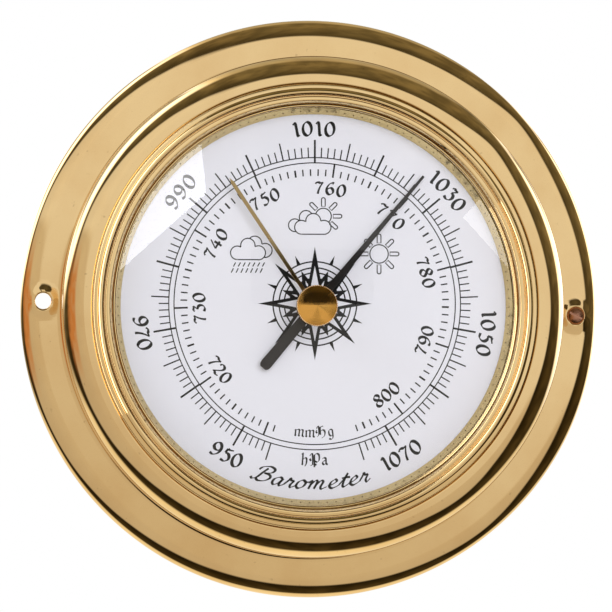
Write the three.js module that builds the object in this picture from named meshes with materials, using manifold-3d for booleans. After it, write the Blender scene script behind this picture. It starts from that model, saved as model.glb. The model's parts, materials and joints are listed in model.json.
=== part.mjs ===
// Aneroid barometer in a turned brass case, with a glazed dial, a set hand and its whole movement.
//
// Units are millimetres, +Z is up, and the dial faces -Y. The origin is the centre of the back face,
// so a depth d measured forwards from the wall lies at y = -d. Profiles are lists of [radius, depth].

import * as THREE from 'three';
import { mergeVertices } from 'three/addons/utils/BufferGeometryUtils.js';
import Module from 'manifold-3d';

const wasm = await Module();
wasm.setup();

// ---------------------------------------------------------------- driving dimensions

const FLANGE_RADIUS = 72.5;        // outer edge of the wall flange
const FLANGE_HEIGHT = 4.0;         // front face of the flange above the wall
const FLANGE_SHOULDER = 4.5;       // rounding of the flange's outer edge
const DRUM_RADIUS = 62.4;
const DRUM_HEIGHT = 26.0;          // front face of the drum above the wall
const DRUM_SHOULDER = 5.2;         // rounding of the drum's front edge, measured along the radius
const DRUM_SHOULDER_DEPTH = 7.6;   // the same rounding, measured in depth
const DRUM_MOUTH_RADIUS = 55.1;    // opening in the drum's front face
const SHEET = 1.0;                 // thickness of the spun brass

const MOUNT_HOLE_CIRCLE = 66.9;
const MOUNT_HOLE_RADIUS = 2.0;
const MOUNT_HOLE_TILT = -1.5;      // degrees that the line of the two holes is turned

const BEZEL_RADIUS = 54.9;
const BEZEL_INNER_RADIUS = 49.3;
const BEZEL_CROWN = 28.4;          // depth of the highest bead

const GLASS_RADIUS = 50.7;
const GLASS_THICKNESS = 2.0;
const GLASS_RIM_DEPTH = 24.7;      // front of the glass at its rim
const GLASS_DOME = 4.0;            // rise of the glass from rim to centre
const GLASS_HOLE_RADIUS = 2.2;

const DIAL_RADIUS = 51.6;
const DIAL_FACE = 17.95;           // depth of the printed face
const PLATE_BACK = 16.6;           // back of the dial plate
const PLATE_THICKNESS = 0.8;

const COVER_RADIUS = 60.9;
const COVER_THICKNESS = 1.2;
const BASE_RADIUS = 58.8;
const BASE_BACK = 1.5;
const BASE_FRONT = 2.7;
const FOOT = BASE_FRONT + 0.05;    // where pieces that stand on the base begin

const LUG_CIRCLE = 57.0;
const LUG_ANGLES = [0, 120, 240];
const PILLAR_CIRCLE = 44.0;
const PILLAR_ANGLES = [80, 200, 320];
const PILLAR_RADIUS = 2.5;

// Gear pair: the sector is a slice of a 160-tooth wheel and drives a 10-leaf pinion.
const PINION_TEETH = 10;
const SECTOR_WHEEL_TEETH = 160;
const GEAR_DISTANCE = 30.0;
const PINION_PITCH_RADIUS = GEAR_DISTANCE * PINION_TEETH / (PINION_TEETH + SECTOR_WHEEL_TEETH);
const SECTOR_PITCH_RADIUS = GEAR_DISTANCE - PINION_PITCH_RADIUS;
const TOOTH_ADDENDUM = 0.3;
const TOOTH_DEDENDUM = 0.42;
const TOOTH_WIDTH = 0.42;          // at the pitch circle
const TOOTH_TIP_WIDTH = 0.22;
const SECTOR_BACK = 13.4;
const SECTOR_FRONT = 14.1;

const SHAFT_Z = -24.0;             // height of the rocking shaft and the sector's pivot
const SHAFT_DEPTH = 9.4;
const SHAFT_RADIUS = 0.9;
const SECTOR_X = Math.sqrt(GEAR_DISTANCE ** 2 - SHAFT_Z ** 2);
const DRIVE_ARM_X = 14.4;

const CAPSULE_X = -8.0;
const CAPSULE_Z = SHAFT_Z - 3.0;
const CAPSULE_RADIUS = 17.0;
const CAPSULE_SEGMENTS = 28;

const BRIDGE_BACK = 14.6;
const BRIDGE_FRONT = 15.4;
const BRIDGE_SCREW_SHANK = 1.0;

const POINTER_ANGLE = 40.0;        // clockwise from the top of the dial
const POINTER_TIP = 42.4;
const POINTER_TAIL = 19.8;
const POINTER_BACK = 20.6;
const SET_HAND_ANGLE = -33.6;
const SET_HAND_TIP = 38.2;
const SET_HAND_BACK = 23.2;
const KNOB_RADIUS = 5.1;
const KNOB_BACK = 29.8;
const KNOB_FRONT = 35.8;

const RING_SEGMENTS = 48;
const SMALL_SEGMENTS = 12;

// ---------------------------------------------------------------- materials

const finish = (color, roughness, metalness) => () => new THREE.MeshStandardMaterial({ color, roughness, metalness });

const polishedBrass = finish(0xdcbe8c, 0.12, 1.0);
const machinedBrass = finish(0xc9a25c, 0.35, 1.0);
const oldBrass = finish(0x8a7440, 0.4, 1.0);
const steel = finish(0xb4b6ba, 0.35, 1.0);
const blackPaint = finish(0x1c1d20, 0.4, 0.0);
const whitePrint = finish(0xe8e8ee, 0.6, 0.0);
const blackRubber = finish(0x17171a, 0.8, 0.0);
const copper = finish(0x8b4a24, 0.35, 1.0);
const capsuleMetal = finish(0xcfc9b4, 0.3, 1.0);

function clearGlass() {
  return new THREE.MeshStandardMaterial({
    color: 0xffffff, roughness: 0.02, metalness: 0, transparent: true, opacity: 0.25,
  });
}

// ---------------------------------------------------------------- geometry helpers

const radians = degrees => degrees * Math.PI / 180;
const degreesOf = angle => angle * 180 / Math.PI;

// Point at a radius and an angle, counted anticlockwise from +X as seen from the front.
const onCircle = (radius, degrees) => [radius * Math.cos(radians(degrees)), radius * Math.sin(radians(degrees))];

// Points of an arc in a [radius, depth] profile, both ends included. With a height of its own
// the arc is part of an ellipse.
function arc(centreR, centreD, radius, fromDegrees, toDegrees, steps, height = radius) {
  const points = [];
  for (let i = 0; i <= steps; i += 1) {
    const [r, d] = onCircle(1, fromDegrees + (toDegrees - fromDegrees) * i / steps);
    points.push([centreR + r * radius, centreD + d * height]);
  }
  return points;
}

// Solid of revolution about the dial's axis. The profile runs anticlockwise in the plane of radius
// and depth, and either closes on itself or starts and ends on the axis.
function turned(profile, segments = SMALL_SEGMENTS) {
  const onAxis = profile[0][0] === 0 && profile[profile.length - 1][0] === 0;
  const loop = onAxis ? profile : [...profile, profile[0]];
  const points = loop.map(([r, d]) => new THREE.Vector2(r, d));
  return new THREE.LatheGeometry(points, segments).rotateX(Math.PI);
}

const cylinder = (radius, back, front, segments = SMALL_SEGMENTS) =>
  turned([[0, back], [radius, back], [radius, front], [0, front]], segments);

const tube = (inner, outer, back, front, segments = SMALL_SEGMENTS) =>
  turned([[inner, back], [outer, back], [outer, front], [inner, front]], segments);

// Flat piece drawn as the front sees it (x to the right, y up) and lying between two depths.
function plate(shape, back, front) {
  const geometry = new THREE.ExtrudeGeometry(shape, { depth: front - back, bevelEnabled: false });
  return geometry.rotateX(Math.PI / 2).translate(0, -back, 0);
}

function polygon(points) {
  return new THREE.Shape(points.map(([x, y]) => new THREE.Vector2(x, y)));
}

// Corners of a regular outline that stands for a circle.
function ringPoints(x, y, radius, count) {
  return Array.from({ length: count }, (_, i) => {
    const [dx, dy] = onCircle(radius, i * 360 / count);
    return new THREE.Vector2(x + dx, y + dy);
  });
}

const disc = radius => new THREE.Shape(ringPoints(0, 0, radius, RING_SEGMENTS));

function addHole(shape, x, y, radius) {
  shape.holes.push(new THREE.Path().setFromPoints(ringPoints(x, y, radius, SMALL_SEGMENTS).reverse()));
}

function box(x0, x1, back, front, z0, z1) {
  const geometry = new THREE.BoxGeometry(x1 - x0, front - back, z1 - z0);
  return geometry.translate((x0 + x1) / 2, -(back + front) / 2, (z0 + z1) / 2);
}

const at = (geometry, x, z) => geometry.translate(x, 0, z);

// Clockwise turn as the front sees it.
const clockwise = (geometry, degrees) => geometry.rotateY(radians(degrees));

function toSolid(geometry) {
  const bare = geometry.clone();
  bare.deleteAttribute('normal');
  bare.deleteAttribute('uv');
  const merged = mergeVertices(bare, 1e-5);
  const corners = Array.from(merged.index.array);
  const triangles = [];
  for (let i = 0; i < corners.length; i += 3) {
    const [a, b, c] = corners.slice(i, i + 3);
    if (a !== b && b !== c && c !== a) triangles.push(a, b, c);
  }
  return new wasm.Manifold(new wasm.Mesh({
    numProp: 3,
    vertProperties: new Float32Array(merged.attributes.position.array),
    triVerts: new Uint32Array(triangles),
  }));
}

function fromSolid(solid) {
  const mesh = solid.getMesh();
  const geometry = new THREE.BufferGeometry();
  geometry.setAttribute('position', new THREE.BufferAttribute(mesh.vertProperties, 3));
  geometry.setIndex(new THREE.BufferAttribute(mesh.triVerts, 1));
  geometry.computeVertexNormals();
  return geometry;
}

const cut = (geometry, ...tools) =>
  fromSolid(tools.reduce((solid, tool) => solid.subtract(toSolid(tool)), toSolid(geometry)));

const join = (geometry, ...others) =>
  fromSolid(others.reduce((solid, other) => solid.add(toSolid(other)), toSolid(geometry)));

// ---------------------------------------------------------------- assembly

const barometer = new THREE.Group();

function add(name, geometry, material) {
  const mesh = new THREE.Mesh(geometry, material());
  mesh.name = name;
  barometer.add(mesh);
}

// ---------------------------------------------------------------- case

function caseShell() {
  const edgeDepth = FLANGE_HEIGHT - FLANGE_SHOULDER;
  const edge = FLANGE_RADIUS - Math.sqrt(FLANGE_SHOULDER ** 2 - edgeDepth ** 2);
  const innerShoulder = FLANGE_SHOULDER - SHEET;
  const outerStart = degreesOf(Math.asin(-edgeDepth / FLANGE_SHOULDER));
  const innerEnd = degreesOf(Math.asin(-edgeDepth / innerShoulder));
  const top = DRUM_RADIUS - DRUM_SHOULDER;
  const topDepth = DRUM_HEIGHT - DRUM_SHOULDER_DEPTH;
  const body = turned([
    ...arc(edge, edgeDepth, FLANGE_SHOULDER, outerStart, 90, 4),
    [DRUM_RADIUS + 0.8, FLANGE_HEIGHT],
    [DRUM_RADIUS, FLANGE_HEIGHT + 0.8],
    ...arc(top, topDepth, DRUM_SHOULDER, 0, 90, 5, DRUM_SHOULDER_DEPTH),
    [DRUM_MOUTH_RADIUS + 0.7, DRUM_HEIGHT],
    [DRUM_MOUTH_RADIUS, DRUM_HEIGHT - 0.7],
    [DRUM_MOUTH_RADIUS, DRUM_HEIGHT - 2.4],
    [DRUM_MOUTH_RADIUS + 0.9, DRUM_HEIGHT - 2.4],
    [DRUM_MOUTH_RADIUS + 0.9, DRUM_HEIGHT - SHEET],
    ...arc(top, topDepth, DRUM_SHOULDER - SHEET, 90, 0, 3, DRUM_SHOULDER_DEPTH - SHEET),
    [DRUM_RADIUS - SHEET, FLANGE_HEIGHT - SHEET],
    ...arc(edge, edgeDepth, innerShoulder, 90, innerEnd, 2),
  ], RING_SEGMENTS);
  const holes = [180 + MOUNT_HOLE_TILT, MOUNT_HOLE_TILT].map(degrees => {
    const countersunk = turned([
      [0, 1], [MOUNT_HOLE_RADIUS, 1], [MOUNT_HOLE_RADIUS, FLANGE_HEIGHT - 0.6],
      [MOUNT_HOLE_RADIUS + 0.7, FLANGE_HEIGHT + 0.1], [0, FLANGE_HEIGHT + 0.1],
    ]);
    return at(countersunk, ...onCircle(MOUNT_HOLE_CIRCLE, degrees));
  });
  return cut(body, ...holes);
}

function bezelRing() {
  const beadRadius = 0.9;
  const beadCentre = BEZEL_RADIUS - 1.85;
  const land = BEZEL_CROWN - beadRadius;
  return turned([
    [51.0, 22.4],
    [58.0, 22.4],
    [58.0, 23.3],
    [BEZEL_RADIUS, 23.3],
    [BEZEL_RADIUS, land - 0.3],
    [BEZEL_RADIUS - 0.3, land],
    ...arc(beadCentre, land, beadRadius, 0, 180, 4),
    [beadCentre - beadRadius - 0.1, land - 0.45],
    [beadCentre - beadRadius - 0.4, land],
    [50.95, land],
    [50.45, land - 0.5],
    [BEZEL_INNER_RADIUS, 25.8],
    [BEZEL_INNER_RADIUS, 25.2],
    [51.0, 25.2],
  ], RING_SEGMENTS);
}

// The glass is a shallow dome of even thickness with a hole for the set hand's spindle.
function domedGlass() {
  const rise = r => GLASS_DOME * (1 - (r / GLASS_RADIUS) ** 2);
  const stations = [GLASS_RADIUS, 42, 32, 20, GLASS_HOLE_RADIUS];
  const front = stations.map(r => [r, GLASS_RIM_DEPTH + rise(r)]);
  const back = stations.map(r => [r, GLASS_RIM_DEPTH - GLASS_THICKNESS + rise(r)]).reverse();
  return turned([...front, ...back], RING_SEGMENTS);
}

function rehautRing() {
  return turned([[47.9, 18.2], [51.8, 18.2], [51.8, 21.7], [49.3, 21.7]], RING_SEGMENTS);
}

function mountingScrew() {
  const profile = [
    [0, 0.4], [1.5, 0.4], [1.5, 3.2], [2.35, 4.1],
    ...arc(0, 2.05, 3.1, 42, 90, 4).slice(1, -1),
    [0, 5.15],
  ];
  return at(turned(profile), ...onCircle(MOUNT_HOLE_CIRCLE, MOUNT_HOLE_TILT));
}

function caseLug(degrees) {
  const block = box(LUG_CIRCLE - 3.5, LUG_CIRCLE + 3.6, 3.0, 8.0, -5, 5);
  const threaded = at(cylinder(1.5, 2.0, 9.0), LUG_CIRCLE, 0);
  return clockwise(cut(block, threaded), -degrees);
}

const countersunkHole = back => turned([[0, back - 1], [3.0, back - 1], [3.0, back], [1.6, back + 1.4], [1.6, 9], [0, 9]]);

function coverScrew(degrees) {
  const screw = turned([[0, 0.1], [2.7, 0.1], [1.3, 1.35], [1.3, 7.0], [0, 7.0]]);
  const slot = box(-3, 3, -0.5, 0.6, -0.35, 0.35);
  return at(cut(screw, slot), ...onCircle(LUG_CIRCLE, degrees));
}

function rearCover() {
  const ventCount = 6;
  const outline = disc(COVER_RADIUS);
  addHole(outline, CAPSULE_X, CAPSULE_Z, 3.2);
  for (let i = 0; i < ventCount; i += 1) {
    const [x, y] = onCircle(6, i * 360 / ventCount);
    addHole(outline, x, y + 30, 1.3);
  }
  const sheet = plate(outline, 0, COVER_THICKNESS);
  const seats = LUG_ANGLES.map(degrees => at(countersunkHole(0), ...onCircle(LUG_CIRCLE, degrees)));
  return cut(sheet, ...seats);
}

add('case_shell', caseShell(), polishedBrass);
add('bezel_ring', bezelRing(), polishedBrass);
add('glass', domedGlass(), clearGlass);
add('glass_gasket', tube(49.6, 51.2, 21.95, 22.35, RING_SEGMENTS), blackRubber);
add('rehaut_ring', rehautRing(), machinedBrass);
add('mounting_screw', mountingScrew(), copper);
add('rear_cover', rearCover(), blackPaint);
LUG_ANGLES.forEach((degrees, i) => {
  add(`case_lug_${i + 1}`, caseLug(degrees), machinedBrass);
  add(`cover_screw_${i + 1}`, coverScrew(degrees), steel);
});

// ---------------------------------------------------------------- dial

function dialPlate() {
  const outline = disc(DIAL_RADIUS + 0.4);
  addHole(outline, 0, 0, 3.5);
  const sheet = plate(outline, PLATE_BACK, PLATE_BACK + PLATE_THICKNESS);
  const front = PLATE_BACK + PLATE_THICKNESS;
  const seats = PILLAR_ANGLES.map(degrees => {
    const tool = turned([[0, 16], [1.3, 16], [1.3, front - 0.6], [2.2, front], [2.2, 18], [0, 18]]);
    return at(tool, ...onCircle(PILLAR_CIRCLE, degrees));
  });
  return cut(sheet, ...seats);
}

function dialScrew(degrees) {
  const front = PLATE_BACK + PLATE_THICKNESS;
  const screw = turned([[0, 12.5], [1.0, 12.5], [1.0, front - 0.7], [1.95, front - 0.05], [0, front - 0.05]]);
  return at(screw, ...onCircle(PILLAR_CIRCLE, degrees));
}

// A round pillar with a blind threaded hole in its front end.
function pillar(radius, front, holeRadius, holeDepth) {
  return turned([
    [0, FOOT], [radius, FOOT], [radius, front], [holeRadius, front],
    [holeRadius, front - holeDepth], [0, front - holeDepth],
  ]);
}

add('dial_card', plate((() => {
  const outline = disc(DIAL_RADIUS);
  addHole(outline, 0, 0, 2.5);
  return outline;
})(), DIAL_FACE - 0.4, DIAL_FACE), whitePrint);
add('dial_plate', dialPlate(), steel);
PILLAR_ANGLES.forEach((degrees, i) => {
  const place = onCircle(PILLAR_CIRCLE, degrees);
  add(`dial_pillar_${i + 1}`, at(pillar(PILLAR_RADIUS, PLATE_BACK - 0.1, 1.2, 4.5), ...place), machinedBrass);
  add(`dial_screw_${i + 1}`, dialScrew(degrees), steel);
});

// ---------------------------------------------------------------- movement frame

const toSector = [SECTOR_X / GEAR_DISTANCE, SHAFT_Z / GEAR_DISTANCE];
const alongBridge = distance => [toSector[0] * distance, toSector[1] * distance];
const BRIDGE_PILLARS = [GEAR_DISTANCE + 8, -11];     // distances from the dial's axis towards the sector's pivot

function movementBase() {
  const outline = disc(BASE_RADIUS);
  addHole(outline, 0, 0, 0.8);
  addHole(outline, SECTOR_X, SHAFT_Z, 0.8);
  addHole(outline, CAPSULE_X, CAPSULE_Z, 2.7);
  LUG_ANGLES.forEach(degrees => addHole(outline, ...onCircle(LUG_CIRCLE, degrees), 1.6));
  return plate(outline, BASE_BACK, BASE_FRONT);
}

function bridge() {
  const half = 5;
  const [near, far] = [BRIDGE_PILLARS[1] - 4, BRIDGE_PILLARS[0] + 4];
  const side = [-toSector[1] * half, toSector[0] * half];
  const corner = (distance, sign) => {
    const [x, y] = alongBridge(distance);
    return [x + sign * side[0], y + sign * side[1]];
  };
  const outline = polygon([corner(near, 1), corner(near, -1), corner(far, -1), corner(far, 1)]);
  addHole(outline, 0, 0, 1.2);
  addHole(outline, SECTOR_X, SHAFT_Z, 0.8);
  BRIDGE_PILLARS.forEach(distance => addHole(outline, ...alongBridge(distance), BRIDGE_SCREW_SHANK + 0.2));
  return plate(outline, BRIDGE_BACK, BRIDGE_FRONT);
}

function bridgeScrew(place) {
  const screw = turned([
    [0, 11.5], [BRIDGE_SCREW_SHANK, 11.5], [BRIDGE_SCREW_SHANK, BRIDGE_FRONT + 0.1],
    [1.9, BRIDGE_FRONT + 0.1], [1.9, BRIDGE_FRONT + 0.8], [0, BRIDGE_FRONT + 0.8],
  ]);
  return at(screw, ...place);
}

add('movement_base', movementBase(), steel);
add('bridge', bridge(), machinedBrass);
BRIDGE_PILLARS.forEach((distance, i) => {
  const place = alongBridge(distance);
  add(`bridge_pillar_${i + 1}`, at(pillar(2.2, BRIDGE_BACK - 0.05, BRIDGE_SCREW_SHANK + 0.2, 4), ...place), machinedBrass);
  add(`bridge_screw_${i + 1}`, bridgeScrew(place), steel);
});

// ---------------------------------------------------------------- aneroid capsule

// Corrugated diaphragm: a stepped ring of thin sheet between a centre disc and a flat rim.
function diaphragm(rimDepth, crownDepth, innerRadius, sheet) {
  const waves = 4;
  const outer = CAPSULE_RADIUS - 1.6;
  const height = i => crownDepth + (i % 2 === 0 ? 0 : -0.35 * Math.sign(crownDepth - rimDepth));
  const crest = [];
  for (let i = 0; i <= waves; i += 1) {
    crest.push([innerRadius + (outer - innerRadius) * i / waves, height(i)]);
  }
  const face = [...crest, [CAPSULE_RADIUS - 0.8, rimDepth], [CAPSULE_RADIUS, rimDepth]];
  const backFace = face.map(([r, d]) => [r, d - sheet]);
  return [...backFace, ...face.reverse()];
}

function capsuleLower() {
  const sheet = 0.35;
  const ring = diaphragm(5.35, 3.95, 1.2, sheet);
  const seat = ring.filter(([r]) => r > 1.2);
  const skin = seat.length / 2;
  const stud = [[0, 3.2], [1.2, 3.2], [1.2, 3.6]];
  return turned([...stud, ...seat.slice(0, skin), ...seat.slice(skin), [0, 3.95]], CAPSULE_SEGMENTS);
}

const capsuleUpper = () => turned(diaphragm(5.75, 7.2, 3.2, 0.35), CAPSULE_SEGMENTS);

function capsulePost() {
  const contact = SHAFT_DEPTH - SHAFT_RADIUS - 0.15;
  return cylinderSteps([[2.8, 6.5, 7.1], [0.8, 7.1, contact]]);
}

// Stepped round rod about the dial's axis from [radius, back, front] sections.
function cylinderSteps(sections, segments = SMALL_SEGMENTS) {
  const profile = [[0, sections[0][1]]];
  sections.forEach(([radius, back, front]) => profile.push([radius, back], [radius, front]));
  profile.push([0, sections[sections.length - 1][2]]);
  return turned(profile, segments);
}

function adjustingScrew() {
  const screw = cylinderSteps([[2.4, 0.3, 3.0]]);
  return cut(screw, box(-3, 3, 0, 1.1, -0.4, 0.4));
}

add('capsule_lower', at(capsuleLower(), CAPSULE_X, CAPSULE_Z), capsuleMetal);
add('capsule_upper', at(capsuleUpper(), CAPSULE_X, CAPSULE_Z), capsuleMetal);
add('capsule_post', at(capsulePost(), CAPSULE_X, CAPSULE_Z), machinedBrass);
add('adjusting_screw', at(adjustingScrew(), CAPSULE_X, CAPSULE_Z), machinedBrass);

// ---------------------------------------------------------------- rocking shaft

// A cylinder along X at the rocking shaft's height and depth.
function alongShaft(radius, x0, x1) {
  const rod = new THREE.CylinderGeometry(radius, radius, x1 - x0, SMALL_SEGMENTS);
  return rod.rotateZ(Math.PI / 2).translate((x0 + x1) / 2, -SHAFT_DEPTH, SHAFT_Z);
}

const BRACKET_THICKNESS = 1.2;
const LEFT_BRACKET_X = CAPSULE_X - CAPSULE_RADIUS - 1.6;
const RIGHT_BRACKET_X = CAPSULE_X + CAPSULE_RADIUS + 0.6;
const PIVOT_RADIUS = 0.55;

function bearingBracket(x0, footX0, footX1) {
  const upright = box(x0, x0 + BRACKET_THICKNESS, FOOT, SHAFT_DEPTH + 2.2, SHAFT_Z - 2.4, SHAFT_Z + 2.4);
  const foot = box(footX0, footX1, FOOT, FOOT + 0.9, SHAFT_Z - 2.4, SHAFT_Z + 2.4);
  const bore = alongShaft(SHAFT_RADIUS + 0.1, x0 - 1, x0 + BRACKET_THICKNESS + 1);
  return cut(join(upright, foot), bore);
}

function rockingShaft() {
  const end = DRIVE_ARM_X + 1.1;
  return join(
    alongShaft(SHAFT_RADIUS, LEFT_BRACKET_X - 0.6, end),
    alongShaft(PIVOT_RADIUS, LEFT_BRACKET_X - 1.4, end + 0.3),
  );
}

// Both arms are blades on a collar that is pressed on the rocking shaft.
function armOnShaft(centreX, halfWidth, blade) {
  const collar = alongShaft(SHAFT_RADIUS + 0.7, centreX - halfWidth, centreX + halfWidth);
  const bore = alongShaft(SHAFT_RADIUS + 0.05, centreX - halfWidth - 2, centreX + halfWidth + 2);
  return cut(join(collar, blade), bore);
}

function liftArm() {
  const back = SHAFT_DEPTH - SHAFT_RADIUS + 0.1;
  const blade = box(CAPSULE_X - 1.3, CAPSULE_X + 1.3, back, back + 0.7, CAPSULE_Z - 1.5, SHAFT_Z);
  return armOnShaft(CAPSULE_X, 1.3, blade);
}

function driveArm() {
  const blade = box(DRIVE_ARM_X - 0.8, DRIVE_ARM_X + 0.8, SHAFT_DEPTH, SECTOR_BACK - 0.2, SHAFT_Z - 0.35, SHAFT_Z + 0.35);
  return armOnShaft(DRIVE_ARM_X, 0.8, blade);
}

add('bearing_bracket_left', bearingBracket(LEFT_BRACKET_X, LEFT_BRACKET_X - 4, LEFT_BRACKET_X + 0.6), machinedBrass);
add('bearing_bracket_right', bearingBracket(RIGHT_BRACKET_X, RIGHT_BRACKET_X + 0.6, RIGHT_BRACKET_X + 4.5), machinedBrass);
add('rocking_shaft', rockingShaft(), steel);
add('lift_arm', liftArm(), machinedBrass);
add('drive_arm', driveArm(), machinedBrass);

// ---------------------------------------------------------------- sector and pinion

// Corners of one tooth that points along `degrees` on a wheel of the given pitch radius.
function tooth(pitchRadius, degrees) {
  const half = width => width / 2 / pitchRadius * 180 / Math.PI;
  const root = pitchRadius - TOOTH_DEDENDUM;
  const tip = pitchRadius + TOOTH_ADDENDUM;
  return [
    onCircle(root, degrees - half(TOOTH_WIDTH + 0.1)),
    onCircle(pitchRadius, degrees - half(TOOTH_WIDTH)),
    onCircle(tip, degrees - half(TOOTH_TIP_WIDTH)),
    onCircle(tip, degrees + half(TOOTH_TIP_WIDTH)),
    onCircle(pitchRadius, degrees + half(TOOTH_WIDTH)),
    onCircle(root, degrees + half(TOOTH_WIDTH + 0.1)),
  ];
}

const meshAngle = Math.atan2(SHAFT_Z, SECTOR_X) * 180 / Math.PI;   // from the pinion to the sector's pivot

function pinion() {
  const pitch = 360 / PINION_TEETH;
  const points = [];
  for (let i = 0; i < PINION_TEETH; i += 1) {
    points.push(...tooth(PINION_PITCH_RADIUS, meshAngle + pitch * (i + 0.5)));
  }
  const outline = polygon(points);
  addHole(outline, 0, 0, 0.9);
  return plate(outline, SECTOR_BACK - 0.4, SECTOR_FRONT + 0.3);
}

// A slice of the large wheel with a tail whose pin rests against the drive arm.
function sectorGear() {
  const pitch = 360 / SECTOR_WHEEL_TEETH;
  const [firstTooth, lastTooth] = [-5, 7];
  const centre = meshAngle + 180;
  const points = [];
  for (let i = firstTooth; i <= lastTooth; i += 1) {
    points.push(...tooth(SECTOR_PITCH_RADIUS, centre + pitch * i));
  }
  const hub = 2.4;
  points.push(onCircle(hub, centre + 75), onCircle(hub, centre + 130), onCircle(hub, centre + 180));
  points.push(onCircle(hub, centre - 130), onCircle(hub, centre - 75));
  const outline = polygon(points);
  addHole(outline, 0, 0, 0.9);
  const window = new THREE.Path();
  const inner = SECTOR_PITCH_RADIUS - 3.5;
  const spread = [firstTooth * pitch + 4, lastTooth * pitch - 4];
  const corners = [
    onCircle(8, centre + spread[0]), onCircle(8, centre + spread[1]),
    onCircle(inner, centre + spread[1]), onCircle(inner, centre + spread[0]),
  ];
  window.setFromPoints(corners.map(([x, y]) => new THREE.Vector2(x, y)));
  outline.holes.push(window);
  const body = plate(outline, SECTOR_BACK, SECTOR_FRONT);
  const pinX = DRIVE_ARM_X - SECTOR_X;
  const pinZ = 0.95;
  const tail = box(pinX - 0.8, -1.6, SECTOR_BACK, SECTOR_FRONT, pinZ - 0.8, pinZ + 0.8);
  const pin = at(cylinder(0.45, SECTOR_BACK - 1.3, SECTOR_BACK + 0.3, 8), pinX, pinZ);
  return at(join(body, tail, pin), SECTOR_X, SHAFT_Z);
}

const sectorArbor = () => at(
  cylinderSteps([[0.6, BASE_BACK + 0.2, 3.0], [0.85, 3.0, BRIDGE_BACK - 0.2], [0.6, BRIDGE_BACK - 0.2, BRIDGE_FRONT - 0.1]]),
  SECTOR_X, SHAFT_Z,
);

// Flat spiral of `turns` turns, cut from strip.
function hairspring() {
  const [turns, stepsPerTurn, startRadius, endRadius, width] = [3.5, 14, 2.6, 7.0, 0.25];
  const steps = turns * stepsPerTurn;
  const side = offset => Array.from({ length: steps + 1 }, (_, i) =>
    onCircle(startRadius + (endRadius - startRadius) * i / steps + offset, 360 * i / stepsPerTurn));
  const outline = polygon([...side(width / 2), ...side(-width / 2).reverse()]);
  return plate(outline, 11.4, 11.9);
}

add('sector_gear', sectorGear(), machinedBrass);
add('sector_arbor', sectorArbor(), steel);
add('pinion', pinion(), steel);
add('pointer_arbor', cylinderSteps([[0.6, BASE_BACK + 0.2, 3.0], [0.85, 3.0, 22.0]]), steel);
add('hairspring_collet', tube(0.95, 2.1, 11.2, 12.1), machinedBrass);
add('hairspring', hairspring(), steel);
add('hairspring_stud', at(cylinder(0.7, FOOT, 12.1, 10), -8.1, 0), machinedBrass);

// ---------------------------------------------------------------- indicating hand

function indicatingHand() {
  const blade = polygon([
    [-0.95, 3.0], [-1.25, -4.0], [-1.45, -POINTER_TAIL + 1.1], [-0.8, -POINTER_TAIL],
    [0.8, -POINTER_TAIL], [1.45, -POINTER_TAIL + 1.1], [1.25, -4.0], [0.95, 3.0],
    [0.35, POINTER_TIP], [-0.35, POINTER_TIP],
  ]);
  const front = POINTER_BACK + 0.45;
  const hub = cylinder(3.4, POINTER_BACK, front, 24);
  const bore = cylinder(1.75, POINTER_BACK - 1, front + 1);
  return clockwise(cut(join(plate(blade, POINTER_BACK, front), hub), bore), POINTER_ANGLE);
}

add('hand_bush', tube(0.95, 1.65, 19.2, 21.8), machinedBrass);
add('indicating_hand', indicatingHand(), blackPaint);

// ---------------------------------------------------------------- set hand

function setHand() {
  const blade = polygon([
    [-0.5, 0], [0.5, 0], [0.5, SET_HAND_TIP - 1.6], [0, SET_HAND_TIP], [-0.5, SET_HAND_TIP - 1.6],
  ]);
  const front = SET_HAND_BACK + 0.4;
  const hub = cylinder(3.0, SET_HAND_BACK, front, 24);
  const bore = cylinder(1.75, SET_HAND_BACK - 1, front + 1);
  return clockwise(cut(join(plate(blade, SET_HAND_BACK, front), hub), bore), SET_HAND_ANGLE);
}

function setKnob() {
  return turned([
    [1.2, KNOB_BACK], [KNOB_RADIUS - 0.4, KNOB_BACK], [KNOB_RADIUS, KNOB_BACK + 0.4],
    [KNOB_RADIUS, KNOB_FRONT - 1.0], [KNOB_RADIUS - 0.5, KNOB_FRONT - 0.5], [0, KNOB_FRONT],
    [0, KNOB_FRONT - 1.8], [1.2, KNOB_FRONT - 1.8],
  ], 28);
}

const SPINDLE_RADIUS = 1.0;
const glassCentre = GLASS_RIM_DEPTH + GLASS_DOME;          // front of the glass at its centre

function glassBush() {
  return turned([
    [1.15, glassCentre - 3.0], [1.9, glassCentre - 3.0], [1.9, glassCentre + 0.1],
    [3.4, glassCentre + 0.1], [3.4, glassCentre + 0.5], [1.15, glassCentre + 0.5],
  ]);
}

add('glass_bush', glassBush(), machinedBrass);
add('bush_nut', tube(2.05, 3.4, glassCentre - 2.9, glassCentre - 2.1), machinedBrass);
add('friction_washer', tube(1.4, 3.6, glassCentre + 0.6, glassCentre + 0.9, 24), steel);
add('set_spindle', cylinder(SPINDLE_RADIUS, 22.4, KNOB_FRONT - 2.0), steel);
add('set_hand_collet', tube(1.1, 1.65, 22.6, 25.2), machinedBrass);
add('set_hand', setHand(), oldBrass);
add('set_knob', setKnob(), polishedBrass);

export default barometer;
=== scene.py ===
"""Looks of the aneroid barometer: smooth brass, glass, printed dial, hands and movement, with studio light.

Lengths in this script are millimetres until MM turns them into Blender's metres. The dial faces -Y, and a
depth is measured forwards from the wall, so a depth d lies at y = -d.
"""

import json
import math
from dataclasses import dataclass

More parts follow.
